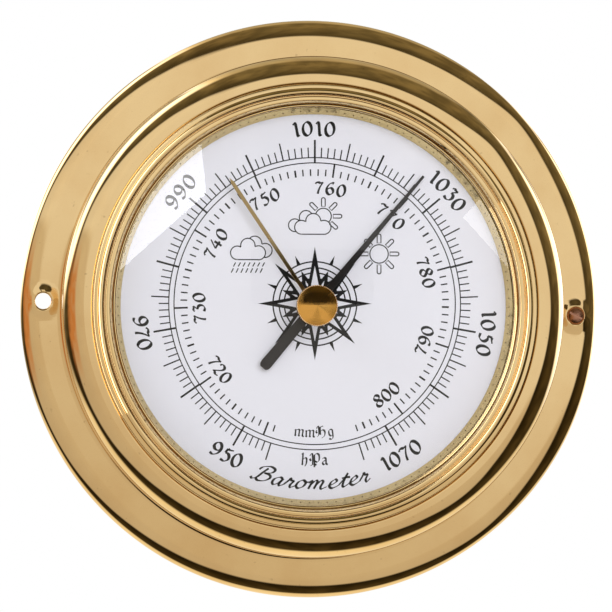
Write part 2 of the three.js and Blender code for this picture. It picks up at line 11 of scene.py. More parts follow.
import bmesh
import bpy
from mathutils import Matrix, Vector


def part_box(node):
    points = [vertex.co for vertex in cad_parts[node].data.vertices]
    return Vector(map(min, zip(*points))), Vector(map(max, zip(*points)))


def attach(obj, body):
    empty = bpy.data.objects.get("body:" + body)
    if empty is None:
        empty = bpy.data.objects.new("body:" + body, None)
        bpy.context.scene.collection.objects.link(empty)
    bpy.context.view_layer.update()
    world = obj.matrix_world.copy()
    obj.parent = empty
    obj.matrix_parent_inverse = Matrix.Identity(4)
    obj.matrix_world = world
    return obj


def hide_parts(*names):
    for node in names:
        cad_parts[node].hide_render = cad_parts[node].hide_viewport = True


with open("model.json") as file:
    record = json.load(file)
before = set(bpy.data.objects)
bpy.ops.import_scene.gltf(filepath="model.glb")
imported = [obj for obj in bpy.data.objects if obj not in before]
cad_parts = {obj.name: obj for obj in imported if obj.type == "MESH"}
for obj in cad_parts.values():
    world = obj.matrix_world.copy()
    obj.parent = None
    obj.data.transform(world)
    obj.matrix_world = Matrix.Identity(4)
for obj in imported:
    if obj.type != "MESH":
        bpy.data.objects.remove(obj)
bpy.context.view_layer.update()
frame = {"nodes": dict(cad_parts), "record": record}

MM = 0.001


# ---------------- sizes taken from the frame

def depths(node):
    """Back and front depth of a CAD node, in millimetres."""
    low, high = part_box(node)
    return -high.y / MM, -low.y / MM


def radius_of(node):
    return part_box(node)[1].x / MM


FLANGE_RADIUS = radius_of("case_shell")
DRUM_HEIGHT = depths("case_shell")[1]
FLANGE_HEIGHT = 4.0
FLANGE_SHOULDER = 4.5
DRUM_RADIUS = 62.4
DRUM_SHOULDER = 5.2
DRUM_SHOULDER_DEPTH = 7.6
DRUM_MOUTH_RADIUS = 55.1
SHEET = 1.0
MOUNT_HOLE_CIRCLE = 66.9
MOUNT_HOLE_RADIUS = 2.0
MOUNT_HOLE_TILT = -1.5

BEZEL_RADIUS = 54.9
BEZEL_INNER_RADIUS = 49.3
BEZEL_CROWN = depths("bezel_ring")[1]
BEZEL_SEAT_RADIUS = 51.0
BEZEL_SEAT_DEPTH = 25.2
BEZEL_FOOT_RADIUS = 58.0
BEZEL_FOOT_BACK = 22.4
BEZEL_FOOT_FRONT = 23.3
BEZEL_BEAD = 0.9
REHAUT_RADIUS = 51.8
REHAUT_BACK = (47.9, 18.2)          # radius and depth of the narrow end
REHAUT_FRONT = (49.3, 21.7)
GASKET_RADIUS = 49.65

GLASS_RADIUS = radius_of("glass")
GLASS_THICKNESS = 2.0
GLASS_RIM_DEPTH = depths("glass")[0] + GLASS_THICKNESS
GLASS_DOME = 4.0
GLASS_HOLE_RADIUS = 2.2

BOSS_REACH = 4.3                    # the flange rises round a screw hole from here
BOSS_CREST = 2.3                    # up to here
BOSS_RISE = 0.42
COVER_HOLE_RADIUS = 3.2             # access to the adjusting screw
VENT_COUNT = 6
VENT_CIRCLE = 6.0
VENT_RADIUS = 1.3
VENTS_ABOVE = 30.0                  # height of the vents above the axis
REHAUT_DOTS = 138

DIAL_RADIUS = radius_of("dial_card")
DIAL_BACK, DIAL_FACE = depths("dial_card")
KNOB_RADIUS = radius_of("set_knob")
KNOB_BACK, KNOB_FRONT = depths("set_knob")
HAND_BACK, HAND_FRONT = depths("indicating_hand")
SET_HAND_BACK, SET_HAND_FRONT = depths("set_hand")
HAND_ANGLE = 40.0
HAND_TIP = 42.4
HAND_TAIL = 19.8
SET_HAND_ANGLE = -33.6
SET_HAND_TIP = 38.2
HAND_BEVEL = 0.12


# ---------------- mesh helpers

def polar(radius, degrees):
    """Point at an angle counted anticlockwise from +X, as the front sees it."""
    return radius * math.cos(math.radians(degrees)), radius * math.sin(math.radians(degrees))


def dial_point(radius, degrees):
    """Point at an angle counted clockwise from the top of the dial."""
    return radius * math.sin(math.radians(degrees)), radius * math.cos(math.radians(degrees))


def arc(centre_r, centre_d, radius, start, end, steps, height=None):
    """Points of an arc in a (radius, depth) profile, both ends included; a height makes it elliptical."""
    points = []
    for i in range(steps + 1):
        dr, dd = polar(1.0, start + (end - start) * i / steps)
        points.append((centre_r + dr * radius, centre_d + dd * (height or radius)))
    return points


def rotated(points, degrees, centre=(0.0, 0.0)):
    """Points turned anticlockwise about the origin, then moved to a centre."""
    c, s = math.cos(math.radians(degrees)), math.sin(math.radians(degrees))
    return [(centre[0] + x * c - y * s, centre[1] + x * s + y * c) for x, y in points]


def add_object(name, data):
    """New object in the scene."""
    item = bpy.data.objects.new(name, data)
    bpy.context.scene.collection.objects.link(item)
    return item


def new_piece(name, vertices, faces, material, smooth_angle=None):
    """Mesh object from vertices in millimetres, with its faces pointing out."""
    mesh = bpy.data.meshes.new(name)
    mesh.from_pydata([(x * MM, y * MM, z * MM) for x, y, z in vertices], [], faces)
    clean = bmesh.new()
    clean.from_mesh(mesh)
    bmesh.ops.remove_doubles(clean, verts=clean.verts, dist=1e-7)
    bmesh.ops.recalc_face_normals(clean, faces=clean.faces)
    clean.to_mesh(mesh)
    clean.free()
    if smooth_angle is not None:
        shade_smooth(mesh, smooth_angle)
    mesh.materials.append(material)
    return add_object(name, mesh)


def lathe_faces(segments, count, closed=True):
    """Faces between neighbouring copies of a profile of some points, all the way round."""
    faces = []
    for i in range(segments):
        here, there = i * count, (i + 1) % segments * count
        for j in range(count if closed else count - 1):
            k = (j + 1) % count
            faces.append((here + j, here + k, there + k, there + j))
    return faces


def shade_smooth(mesh, angle):
    for polygon in mesh.polygons:
        polygon.use_smooth = True
    mesh.set_sharp_from_angle(angle=math.radians(angle))


def turned(name, profile, material, segments=256, centre=(0.0, 0.0), smooth_angle=25):
    """Solid of revolution about the dial's axis, from a closed (radius, depth) profile."""
    on_axis = profile[0][0] < 1e-6 and profile[-1][0] < 1e-6
    vertices = []
    for i in range(segments):
        angle = 2 * math.pi * i / segments
        across, up = math.cos(angle), math.sin(angle)
        for radius, depth in profile:
            vertices.append((centre[0] + radius * across, -depth, centre[1] + radius * up))
    faces = lathe_faces(segments, len(profile), not on_axis)
    return new_piece(name, vertices, faces, material, smooth_angle)


def fit(piece, body, slot, *nodes):
    """Makes a piece ride on a body and stand for CAD nodes, whose objects it hides; the slot is not used."""
    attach(piece, body)
    if nodes:
        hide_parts(*nodes)
    return piece


def boolean_cut(piece, cutter):
    """Cuts one mesh out of another and deletes the cutter."""
    modifier = piece.modifiers.new("cut", "BOOLEAN")
    modifier.operation = "DIFFERENCE"
    modifier.solver = "EXACT"
    modifier.object = cutter
    graph = bpy.context.evaluated_depsgraph_get()
    mesh = bpy.data.meshes.new_from_object(piece.evaluated_get(graph))
    piece.modifiers.clear()
    piece.data = mesh
    bpy.data.objects.remove(cutter)


# ---------------- material helpers

class Nodes:
    """Short names for the nodes of one tree."""

    def __init__(self, tree):
        self.tree = tree

    def add(self, kind, **settings):
        node = self.tree.nodes.new(kind)
        for key, value in settings.items():
            setattr(node, key, value)
        return node

    def link(self, source, target):
        self.tree.links.new(source, target)

    def feed(self, socket, value):
        """Sets a socket to a number or a colour, or links it to another socket."""
        if isinstance(value, tuple):
            socket.default_value = (*value, 1.0)
        elif isinstance(value, (int, float)):
            socket.default_value = value
        else:
            self.link(value, socket)

    def math(self, operation, *values):
        node = self.add("ShaderNodeMath", operation=operation)
        for socket, value in zip(node.inputs, values):
            self.feed(socket, value)
        return node.outputs["Value"]

    def times(self, first, second):
        return self.math("MULTIPLY", first, second)

    def plus(self, first, second):
        return self.math("ADD", first, second)

    def minus(self, first, second):
        return self.math("SUBTRACT", first, second)

    def mix(self, factor, first, second):
        """Colour mix of two colours by a factor socket."""
        node = self.add("ShaderNodeMix", data_type="RGBA")
        for index, value in ((0, factor), (6, first), (7, second)):
            self.feed(node.inputs[index], value)
        return node.outputs[2]

    def remap(self, source, low, high, to_low, to_high, **settings):
        """Even change of a number between two limits of another."""
        node = self.add("ShaderNodeMapRange", **settings)
        names = ("Value", "From Min", "From Max", "To Min", "To Max")
        for key, value in zip(names, (source, low, high, to_low, to_high)):
            self.feed(node.inputs[key], value)
        return node.outputs["Result"]

    def ramp(self, source, start, end, low, high):
        """Smooth change of a number between two limits of another."""
        return self.remap(source, start, end, low, high, interpolation_type="SMOOTHSTEP")


class SurfaceNodes(Nodes):
    """Nodes of one material."""

    def __init__(self, name):
        self.material = bpy.data.materials.new(name)
        self.material.use_nodes = True
        super().__init__(self.material.node_tree)
        self.shader = self.tree.nodes["Principled BSDF"]
        self.place = self.add("ShaderNodeTexCoord").outputs["Object"]

    def noise(self, scale, detail=4.0, roughness=0.55):
        node = self.add("ShaderNodeTexNoise")
        node.inputs["Scale"].default_value = scale
        node.inputs["Detail"].default_value = detail
        node.inputs["Roughness"].default_value = roughness
        self.link(self.place, node.inputs["Vector"])
        return node.outputs["Fac"]

    def bump(self, height, distance, under=None):
        node = self.add("ShaderNodeBump")
        node.inputs["Strength"].default_value = 1.0
        node.inputs["Distance"].default_value = distance * MM
        self.link(height, node.inputs["Height"])
        if under is not None:
            self.link(under, node.inputs["Normal"])
        return node.outputs["Normal"]

    def radius(self):
        """Distance from the dial's axis, in metres."""
        split = self.add("ShaderNodeSeparateXYZ")
        self.link(self.place, split.inputs["Vector"])
        across = self.math("POWER", split.outputs["X"], 2.0)
        up = self.math("POWER", split.outputs["Z"], 2.0)
        return self.math("SQRT", self.plus(across, up))


def metal(name, colour, worn, roughness, wave=0.0, grain=0.0, turning=0.0, pitch=0.15, specks=0.0):
    """A metal whose colour and gloss drift a little, with waviness, grain, turning marks or specks."""
    n = SurfaceNodes(name)
    drift = n.remap(n.noise(60.0, 5.0), 0.42, 0.72, 0.0, 1.0)
    surface = n.mix(drift, colour, worn)
    if specks:
        spots = n.remap(n.noise(700.0, 2.0, 0.5), 0.70, 0.78, 0.0, specks)
        surface = n.mix(spots, surface, tuple(0.35 * part for part in worn))
    n.link(surface, n.shader.inputs["Base Color"])
    n.shader.inputs["Metallic"].default_value = 1.0
    smear = n.noise(350.0, 6.0, 0.65)
    n.link(n.remap(smear, 0.3, 0.75, roughness * 0.75, roughness * 1.4), n.shader.inputs["Roughness"])
    normal = None
    if wave:
        normal = n.bump(n.noise(28.0, 1.5, 0.4), wave)
    if grain:
        normal = n.bump(n.noise(2600.0, 3.0, 0.6), grain, under=normal)
    if turning:
        phase = n.times(n.radius(), 2 * math.pi / (pitch * MM))
        ripple = n.plus(n.math("SINE", phase), n.noise(1800.0, 2.0))
        normal = n.bump(ripple, turning, under=normal)
    if normal is not None:
        n.link(normal, n.shader.inputs["Normal"])
    return n.material


def paint(name, colour, second, roughness, grain, scale=900.0):
    """A painted, printed or rubber surface with slight mottling and a fine grain."""
    n = SurfaceNodes(name)
    n.link(n.mix(n.noise(220.0, 5.0), colour, second), n.shader.inputs["Base Color"])
    gloss = n.remap(n.noise(500.0, 4.0), 0.3, 0.7, roughness * 0.85, roughness * 1.15)
    n.link(gloss, n.shader.inputs["Roughness"])
    n.link(n.bump(n.noise(scale, 4.0), grain), n.shader.inputs["Normal"])
    return n.material


def clear_glass():
    """Thin clear glass: light passes straight through, and the outer face reflects its Fresnel share."""
    n = SurfaceNodes("clear_glass")
    n.tree.nodes.remove(n.shader)
    through = n.add("ShaderNodeBsdfTransparent")
    through.inputs["Color"].default_value = (0.985, 0.99, 0.988, 1.0)
    shine = n.add("ShaderNodeBsdfGlossy")
    shine.inputs["Color"].default_value = (1.0, 1.0, 1.0, 1.0)
    n.link(n.remap(n.noise(45.0, 5.0, 0.6), 0.45, 0.8, 0.003, 0.012), shine.inputs["Roughness"])
    fresnel = n.add("ShaderNodeFresnel")
    fresnel.inputs["IOR"].default_value = 1.42
    outside = n.minus(1.0, n.add("ShaderNodeNewGeometry").outputs["Backfacing"])
    blend = n.add("ShaderNodeMixShader")
    n.link(n.times(fresnel.outputs["Fac"], outside), blend.inputs["Fac"])
    n.link(through.outputs["BSDF"], blend.inputs[1])
    n.link(shine.outputs["BSDF"], blend.inputs[2])
    n.link(blend.outputs["Shader"], n.tree.nodes["Material Output"].inputs["Surface"])
    return n.material


POLISHED = metal("polished_brass", (0.86, 0.62, 0.31), (0.80, 0.55, 0.26), 0.05, wave=0.035, specks=0.3)
BEAD_BRASS = metal("bead_brass", (0.88, 0.65, 0.33), (0.82, 0.57, 0.26), 0.05, wave=0.015)
PALE_BRASS = metal("pale_brass", (0.70, 0.54, 0.23), (0.58, 0.43, 0.17), 0.26, grain=0.006)
MACHINED = metal("machined_brass", (0.70, 0.45, 0.18), (0.60, 0.37, 0.14), 0.3, grain=0.004)
KNOB_BRASS = metal("knob_brass", (0.92, 0.50, 0.12), (0.78, 0.40, 0.09), 0.12, turning=0.005, pitch=0.13)
HAND_BRASS = metal("hand_brass", (0.52, 0.37, 0.16), (0.44, 0.30, 0.12), 0.3, grain=0.004)
AGED = metal("aged_brass", (0.30, 0.22, 0.10), (0.24, 0.17, 0.075), 0.34, grain=0.004)
STEEL = metal("steel", (0.56, 0.57, 0.58), (0.46, 0.46, 0.47), 0.26, grain=0.004)
CAPSULE = metal("capsule_metal", (0.66, 0.62, 0.50), (0.56, 0.52, 0.40), 0.24, grain=0.003)
COPPER = metal("copper_screw", (0.66, 0.35, 0.24), (0.42, 0.20, 0.13), 0.36, grain=0.01)
WHITE = paint("dial_white", (0.797, 0.795, 0.90), (0.782, 0.78, 0.885), 0.55, 0.002)
INK = paint("dial_ink", (0.004, 0.004, 0.006), (0.007, 0.007, 0.009), 0.6, 0.002)
BLACK = paint("black_paint", (0.020, 0.019, 0.020), (0.030, 0.027, 0.027), 0.38, 0.006)
HAND_BLACK = paint("hand_black", (0.010, 0.008, 0.009), (0.017, 0.014, 0.015), 0.36, 0.004)
COVER_BLACK = paint("cover_black", (0.018, 0.018, 0.019), (0.028, 0.028, 0.029), 0.45, 0.02, 1400.0)
RUBBER = paint("rubber", (0.014, 0.014, 0.014), (0.022, 0.022, 0.021), 0.75, 0.01)
GLASS = clear_glass()
SLOT_MATERIALS = {
    "polished_brass": POLISHED, "machined_brass": MACHINED, "aged_brass": AGED, "steel": STEEL,
    "capsule_metal": CAPSULE, "black_paint": BLACK, "dial_white": WHITE, "rubber": RUBBER,
    "copper_screw": COPPER, "clear_glass": GLASS,
}


def dress_cad_nodes():
    """Gives every CAD node the procedural material of its slot."""
    for row in frame["record"]["subparts"]:
        piece = frame["nodes"][row["node"]]
        piece.data.materials.clear()
        piece.data.materials.append(SLOT_MATERIALS[row["material_slot"]])


dress_cad_nodes()


# ---------------- case

def boss(piece, centre):
    """Raises the flange's face a little round a screw hole, as punching leaves it."""
    lowest = (FLANGE_HEIGHT - 2.0) * MM
    highest = (FLANGE_HEIGHT + 0.6) * MM
    for vertex in piece.data.vertices:
        away = math.hypot(vertex.co.x / MM - centre[0], vertex.co.z / MM - centre[1])
        if away < BOSS_REACH and lowest <= -vertex.co.y <= highest:
            slope = max(0.0, away - BOSS_CREST) / (BOSS_REACH - BOSS_CREST)
            vertex.co.y -= BOSS_RISE * MM * (0.5 + 0.5 * math.cos(math.pi * slope))


def hole_cutter(centre):
    """Cuts a mounting hole with a rounded mouth."""
    bore, lip = MOUNT_HOLE_RADIUS, 0.5
    top = FLANGE_HEIGHT + BOSS_RISE
    profile = [(0, 0.5), (bore, 0.5), (bore, top - 0.4)] + arc(bore + lip, top - lip, lip, 170, 100, 4)
    profile += [(bore + lip, 7.0), (0, 7.0)]
    return turned("cutter", profile, INK, 64, centre)


def flat_rings(start, end, depth, count):
    """Extra rings on a flat stretch of a profile: they keep its shading flat, and it can be pressed."""
    return [(start + (end - start) * i / count, depth) for i in range(1, count)]


def brass_case():
    """Spun flange and drum in one sheet, with two mounting holes."""
    edge_depth = FLANGE_HEIGHT - FLANGE_SHOULDER
    edge = FLANGE_RADIUS - math.sqrt(FLANGE_SHOULDER ** 2 - edge_depth ** 2)
    inner_shoulder = FLANGE_SHOULDER - SHEET
    outer_start = math.degrees(math.asin(-edge_depth / FLANGE_SHOULDER))
    inner_end = math.degrees(math.asin(-edge_depth / inner_shoulder))
    top = DRUM_RADIUS - DRUM_SHOULDER
    top_depth = DRUM_HEIGHT - DRUM_SHOULDER_DEPTH
    fillet = 0.7
    foot = DRUM_RADIUS + fillet
    mouth, mouth_round = DRUM_MOUTH_RADIUS, 0.45
    profile = arc(edge, edge_depth, FLANGE_SHOULDER, outer_start, 90, 22)
    profile += flat_rings(edge, foot, FLANGE_HEIGHT, 12)
    profile += arc(foot, FLANGE_HEIGHT + fillet, fillet, 270, 180, 6)
    profile += arc(top, top_depth, DRUM_SHOULDER, 0, 90, 28, DRUM_SHOULDER_DEPTH)
    profile += flat_rings(top, mouth + mouth_round, DRUM_HEIGHT, 12)
    profile += arc(mouth + mouth_round, DRUM_HEIGHT - mouth_round, mouth_round, 90, 180, 6)
    profile += [(mouth, DRUM_HEIGHT - 2.4), (mouth + 0.9, DRUM_HEIGHT - 2.4)]
    profile += [(mouth + 0.9, DRUM_HEIGHT - SHEET)]
    profile += arc(top, top_depth, DRUM_SHOULDER - SHEET, 90, 0, 6, DRUM_SHOULDER_DEPTH - SHEET)
    profile += arc(DRUM_RADIUS - SHEET + 0.4, FLANGE_HEIGHT - SHEET + 0.4, 0.4, 180, 270, 4)
    profile += flat_rings(DRUM_RADIUS, edge, FLANGE_HEIGHT - SHEET, 12)
    profile += arc(edge, edge_depth, inner_shoulder, 90, inner_end, 6)
    case = turned("brass_case", profile, POLISHED, 512)
    for degrees in (180 + MOUNT_HOLE_TILT, MOUNT_HOLE_TILT):
        centre = polar(MOUNT_HOLE_CIRCLE, degrees)
        boss(case, centre)
        boolean_cut(case, hole_cutter(centre))
    shade_smooth(case.data, 32)
    return fit(case, "case", "polished_brass", "case_shell")


def brass_bezel():
    """Stepped ring with a round bead that holds the glass."""
    bead = BEZEL_BEAD
    bead_centre = BEZEL_RADIUS - 1.85
    land = BEZEL_CROWN - bead
    edge = 0.25
    lip = 0.45
    profile = [(BEZEL_SEAT_RADIUS, BEZEL_FOOT_BACK), (BEZEL_FOOT_RADIUS, BEZEL_FOOT_BACK)]
    profile += [(BEZEL_FOOT_RADIUS, BEZEL_FOOT_FRONT), (BEZEL_RADIUS, BEZEL_FOOT_FRONT)]
    profile += arc(BEZEL_RADIUS - edge, land - edge, edge, 0, 90, 5)
    profile += arc(bead_centre, land, bead, 0, 180, 24)
    profile += [(bead_centre - bead - 0.04, land - 0.45), (bead_centre - bead - 0.2, land - 0.45)]
    profile += arc(bead_centre - bead - 0.45, land - edge, edge, 0, 90, 5)
    profile += arc(BEZEL_SEAT_RADIUS, land - 0.3, 0.3, 90, 165, 6)
    profile += [(50.42, land - 0.6), (50.1, 26.45)]
    profile += arc(BEZEL_INNER_RADIUS + lip, 25.85, lip, 80, 180, 8)
    profile += [(BEZEL_INNER_RADIUS, BEZEL_SEAT_DEPTH), (BEZEL_SEAT_RADIUS, BEZEL_SEAT_DEPTH)]
    return fit(turned("brass_bezel", profile, BEAD_BRASS, 400), "case", "polished_brass", "bezel_ring")


def dome_glass():
    """Shallow dome of even thickness with a hole in its centre."""
    def rise(radius):
        return GLASS_DOME * (1 - (radius / GLASS_RADIUS) ** 2)

    steps = 40
    stations = [GLASS_RADIUS + (GLASS_HOLE_RADIUS - GLASS_RADIUS) * i / steps for i in range(steps + 1)]
    front = [(r, GLASS_RIM_DEPTH + rise(r)) for r in stations]
    back = [(r, GLASS_RIM_DEPTH - GLASS_THICKNESS + rise(r)) for r in reversed(stations)]
    return fit(turned("dome_glass", front + back, GLASS, 200), "case", "clear_glass", "glass")


def gasket():
    back, front = depths("glass_gasket")
    middle = (back + front) / 2
    round_side = arc(BEZEL_SEAT_RADIUS, middle, (front - back) / 2, -90, 90, 8)
    profile = [(GASKET_RADIUS, back)] + round_side + [(GASKET_RADIUS, front)]
    return fit(turned("glass_seal", profile, RUBBER, 160), "case", "rubber", "glass_gasket")


def rehaut():
    """Narrow conical ring between glass and dial, with a row of small punched dots."""
    lower, upper = REHAUT_BACK, REHAUT_FRONT
    profile = [lower, (REHAUT_RADIUS, lower[1]), (REHAUT_RADIUS, upper[1]), upper]
    fit(turned("rehaut", profile, PALE_BRASS, 300), "case", "machined_brass", "rehaut_ring")
    radius = (lower[0] + upper[0]) / 2 - 0.02
    depth = (lower[1] + upper[1]) / 2
    vertices, faces = [], []
    for i in range(REHAUT_DOTS):
        angle = 2 * math.pi * i / REHAUT_DOTS
        add_dot(vertices, faces, radius * math.cos(angle), depth, radius * math.sin(angle), 0.21)
    fit(new_piece("rehaut_dots", vertices, faces, AGED, 60), "case", "aged_brass")


def add_dot(vertices, faces, x, depth, z, size):
    """A small octahedral bead, rounded by its smooth shading."""
    start = len(vertices)
    for dx, dy, dz in ((1, 0, 0), (-1, 0, 0), (0, 1, 0), (0, -1, 0), (0, 0, 1), (0, 0, -1)):
        vertices.append((x + dx * size, -depth + dy * size, z + dz * size))
    for a in (0, 1):
        for b in (2, 3):
            for c in (4, 5):
                faces.append((start + a, start + b, start + c))


def wall_screw():
    """Round-headed slotted screw in the right hole of the flange."""
    back, front = depths("mounting_screw")
    head, crown_radius = 2.35, 3.0
    profile = [(0, back), (1.2, back + 0.5), (1.5, back + 1.0), (1.5, 3.0), (head, 3.55)]
    crown = arc(0, front - crown_radius, crown_radius, 51, 90, 12)
    profile += [(min(r, head), d) for r, d in crown[:-1]] + [(0, front)]
    centre = polar(MOUNT_HOLE_CIRCLE, MOUNT_HOLE_TILT)
    screw = turned("wall_screw", profile, COPPER, 64, centre)
    boolean_cut(screw, slot_cutter(6, 0.55, front - 0.55, front + 1, centre, 28))
    shade_smooth(screw.data, 30)
    return fit(screw, "case", "copper_screw", "mounting_screw")


def slot_cutter(width, height, back, front, centre, turn):
    """A block for cutting slots, turned clockwise by some degrees."""
    half_width, half_height = width / 2, height / 2
    corners = [(-half_width, -half_height), (half_width, -half_height), (half_width, half_height),
               (-half_width, half_height)]
    placed = rotated(corners, -turn, centre)
    vertices = [(x, -depth, z) for depth in (back, front) for x, z in placed]
    faces = [(0, 1, 2, 3), (7, 6, 5, 4), (0, 4, 5, 1), (1, 5, 6, 2), (2, 6, 7, 3), (3, 7, 4, 0)]
    return new_piece("slot", vertices, faces, INK)


brass_case()
BEZEL_PIECE = brass_bezel()
GLASS_PIECE = dome_glass()
gasket()
rehaut()
wall_screw()


# ---------------- back

def middle_of(node):
    """Centre of a CAD node as the front sees it, in millimetres."""
    low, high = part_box(node)
    return (low.x + high.x) / 2 / MM, (low.z + high.z) / 2 / MM


def rear_cover():
    """Black back plate with a pressed rim, vent holes and an access hole."""
    radius = radius_of("rear_cover")
    thick = depths("rear_cover")[1]
    profile = [(0, 0.0), (48.0, 0.0)] + arc(48.6, 0.35, 0.35, 250, 290, 4)[1:] + [(49.8, 0.12), (50.6, 0.0)]
    profile += arc(radius - 0.4, 0.4, 0.4, 270, 360, 5) + [(radius, thick), (0, thick)]
    cover = turned("back_plate", profile, COVER_BLACK, 200)
    boolean_cut(cover, round_cutter(middle_of("adjusting_screw"), COVER_HOLE_RADIUS))
    for i in range(VENT_COUNT):
        x, z = polar(VENT_CIRCLE, i * 360 / VENT_COUNT)
        boolean_cut(cover, round_cutter((x, z + VENTS_ABOVE), VENT_RADIUS))
    for i in (1, 2, 3):
        centre = middle_of(f"cover_screw_{i}")
        sink = [(0, -1), (3.0, -1), (3.0, 0), (1.6, 1.4), (1.6, 3), (0, 3)]
        boolean_cut(cover, turned("cutter", sink, INK, 48, centre))
        cover_screw(i, centre)
    shade_smooth(cover.data, 30)
    return fit(cover, "case", "black_paint", "rear_cover")


def round_cutter(centre, radius):
    return turned("cutter", [(0, -1), (radius, -1), (radius, 3), (0, 3)], INK, 48, centre)


def cover_screw(number, centre):
    """Countersunk slotted screw of the back plate."""
    back, front = depths(f"cover_screw_{number}")
    profile = [(0, back)] + arc(2.55, back + 0.15, 0.15, 270, 370, 4)
    profile += [(1.3, 1.35), (1.3, front), (0, front)]
    screw = turned(f"back_screw_{number}", profile, STEEL, 48, centre)
    boolean_cut(screw, slot_cutter(7, 0.7, back - 1, back + 0.5, centre, 25 + 50 * number))
    shade_smooth(screw.data, 30)
    fit(screw, "case", "steel", f"cover_screw_{number}")


rear_cover()


# ---------------- hands and knob

def flat_piece(name, outline, back, front, material, turn):
    """Thin piece from an outline (x right, y up), with bevelled front edges, turned clockwise."""
    mesh = bpy.data.meshes.new(name)
    shape = bmesh.new()
    points = [(x * MM, z * MM) for x, z in rotated(outline, -turn)]
    lower = [shape.verts.new((x, -back * MM, z)) for x, z in points]
    upper = [shape.verts.new((x, -front * MM, z)) for x, z in points]
    shape.faces.new(lower)
    top = shape.faces.new(list(reversed(upper)))
    for i in range(len(points)):
        j = (i + 1) % len(points)
        shape.faces.new((lower[i], lower[j], upper[j], upper[i]))
    bmesh.ops.recalc_face_normals(shape, faces=shape.faces)
    edges = list(top.edges)
    bmesh.ops.bevel(shape, geom=edges, offset=HAND_BEVEL * MM, segments=3, profile=0.6, affect="EDGES")
    bmesh.ops.triangulate(shape, faces=[f for f in shape.faces if len(f.verts) > 4])
    shape.to_mesh(mesh)
    shape.free()
    mesh.materials.append(material)
    shade_smooth(mesh, 30)
    return add_object(name, mesh)


def circle_part(radius, start, end, steps):
    return [polar(radius, start + (end - start) * i / steps) for i in range(steps + 1)]


def indicating_hand():
    """Long black hand: a tapering blade, a round hub and a tail that widens to a blunt rounded end."""
    hub = 3.3
    tip, tail = HAND_TIP, HAND_TAIL
    right = [(0.95, 3.16), (0.33, tip - 0.1), (0.22, tip)]
    left = [(-x, y) for x, y in reversed(right)]
    lower_left = [(-1.22, -3.07), (-1.45, -tail + 1.3), (-1.30, -tail + 0.55), (-0.85, -tail)]
    lower_right = [(-x, y) for x, y in reversed(lower_left)]
    outline = right + left
    outline += circle_part(hub, 108, 246, 14)
    outline += lower_left + lower_right
    outline += circle_part(hub, 294, 432, 14)
    piece = flat_piece("pressure_hand", outline, HAND_BACK, HAND_FRONT, HAND_BLACK, HAND_ANGLE)
    return fit(piece, "pointer", "black_paint", "indicating_hand")


def set_hand():
    """Thin brass hand that marks an earlier reading: a narrow pointed blade on a round hub."""
    tip = SET_HAND_TIP
    outline = [(0.47, 2.9), (0.47, tip - 1.5), (0.0, tip), (-0.47, tip - 1.5), (-0.47, 2.9)]
    outline += circle_part(2.95, 99, 441, 28)[1:-1]
    piece = flat_piece("marker_hand", outline, SET_HAND_BACK, SET_HAND_FRONT, HAND_BRASS, SET_HAND_ANGLE)
    return fit(piece, "set_hand_unit", "aged_brass", "set_hand")


def knob():
    """Turned knob: a finely knurled wall and a shallow conical face with a centre point."""
    teeth, steps = 64, 4
    wall = KNOB_FRONT - 1.45
    rings = [
        (1.2, KNOB_BACK, 0), (KNOB_RADIUS - 0.45, KNOB_BACK, 0), (KNOB_RADIUS - 0.08, KNOB_BACK + 0.4, 1),
        (KNOB_RADIUS, KNOB_BACK + 0.8, 1), (KNOB_RADIUS, wall, 1), (KNOB_RADIUS - 0.22, wall + 0.3, 0.5),
        (KNOB_RADIUS - 0.36, wall + 0.34, 0), (3.2, wall + 0.72, 0), (1.4, wall + 1.14, 0),
        (0.22, wall + 1.41, 0), (0.0, KNOB_FRONT, 0),
        (0.0, KNOB_FRONT - 1.8, 0), (1.2, KNOB_FRONT - 1.8, 0),
    ]
    segments = teeth * steps
    vertices = []
    for i in range(segments):
        angle = 2 * math.pi * i / segments
        notch = 0.2 * (0.5 - 0.5 * math.cos(2 * math.pi * (i % steps) / steps))
        for radius, depth, share in rings:
            r = max(0.0, radius - notch * share)
            vertices.append((r * math.cos(angle), -depth, r * math.sin(angle)))
    piece = new_piece("turned_knob", vertices, lathe_faces(segments, len(rings)), KNOB_BRASS, 28)
    return fit(piece, "set_hand_unit", "machined_brass", "set_knob")


indicating_hand()
set_hand()
knob()


# ---------------- print on the dial

INK_TOP = DIAL_FACE + 0.02
INK_BASE = DIAL_FACE - 0.05
PRINT_OFFSET = (0.35, 0.85)         # the print sits a little off the axis


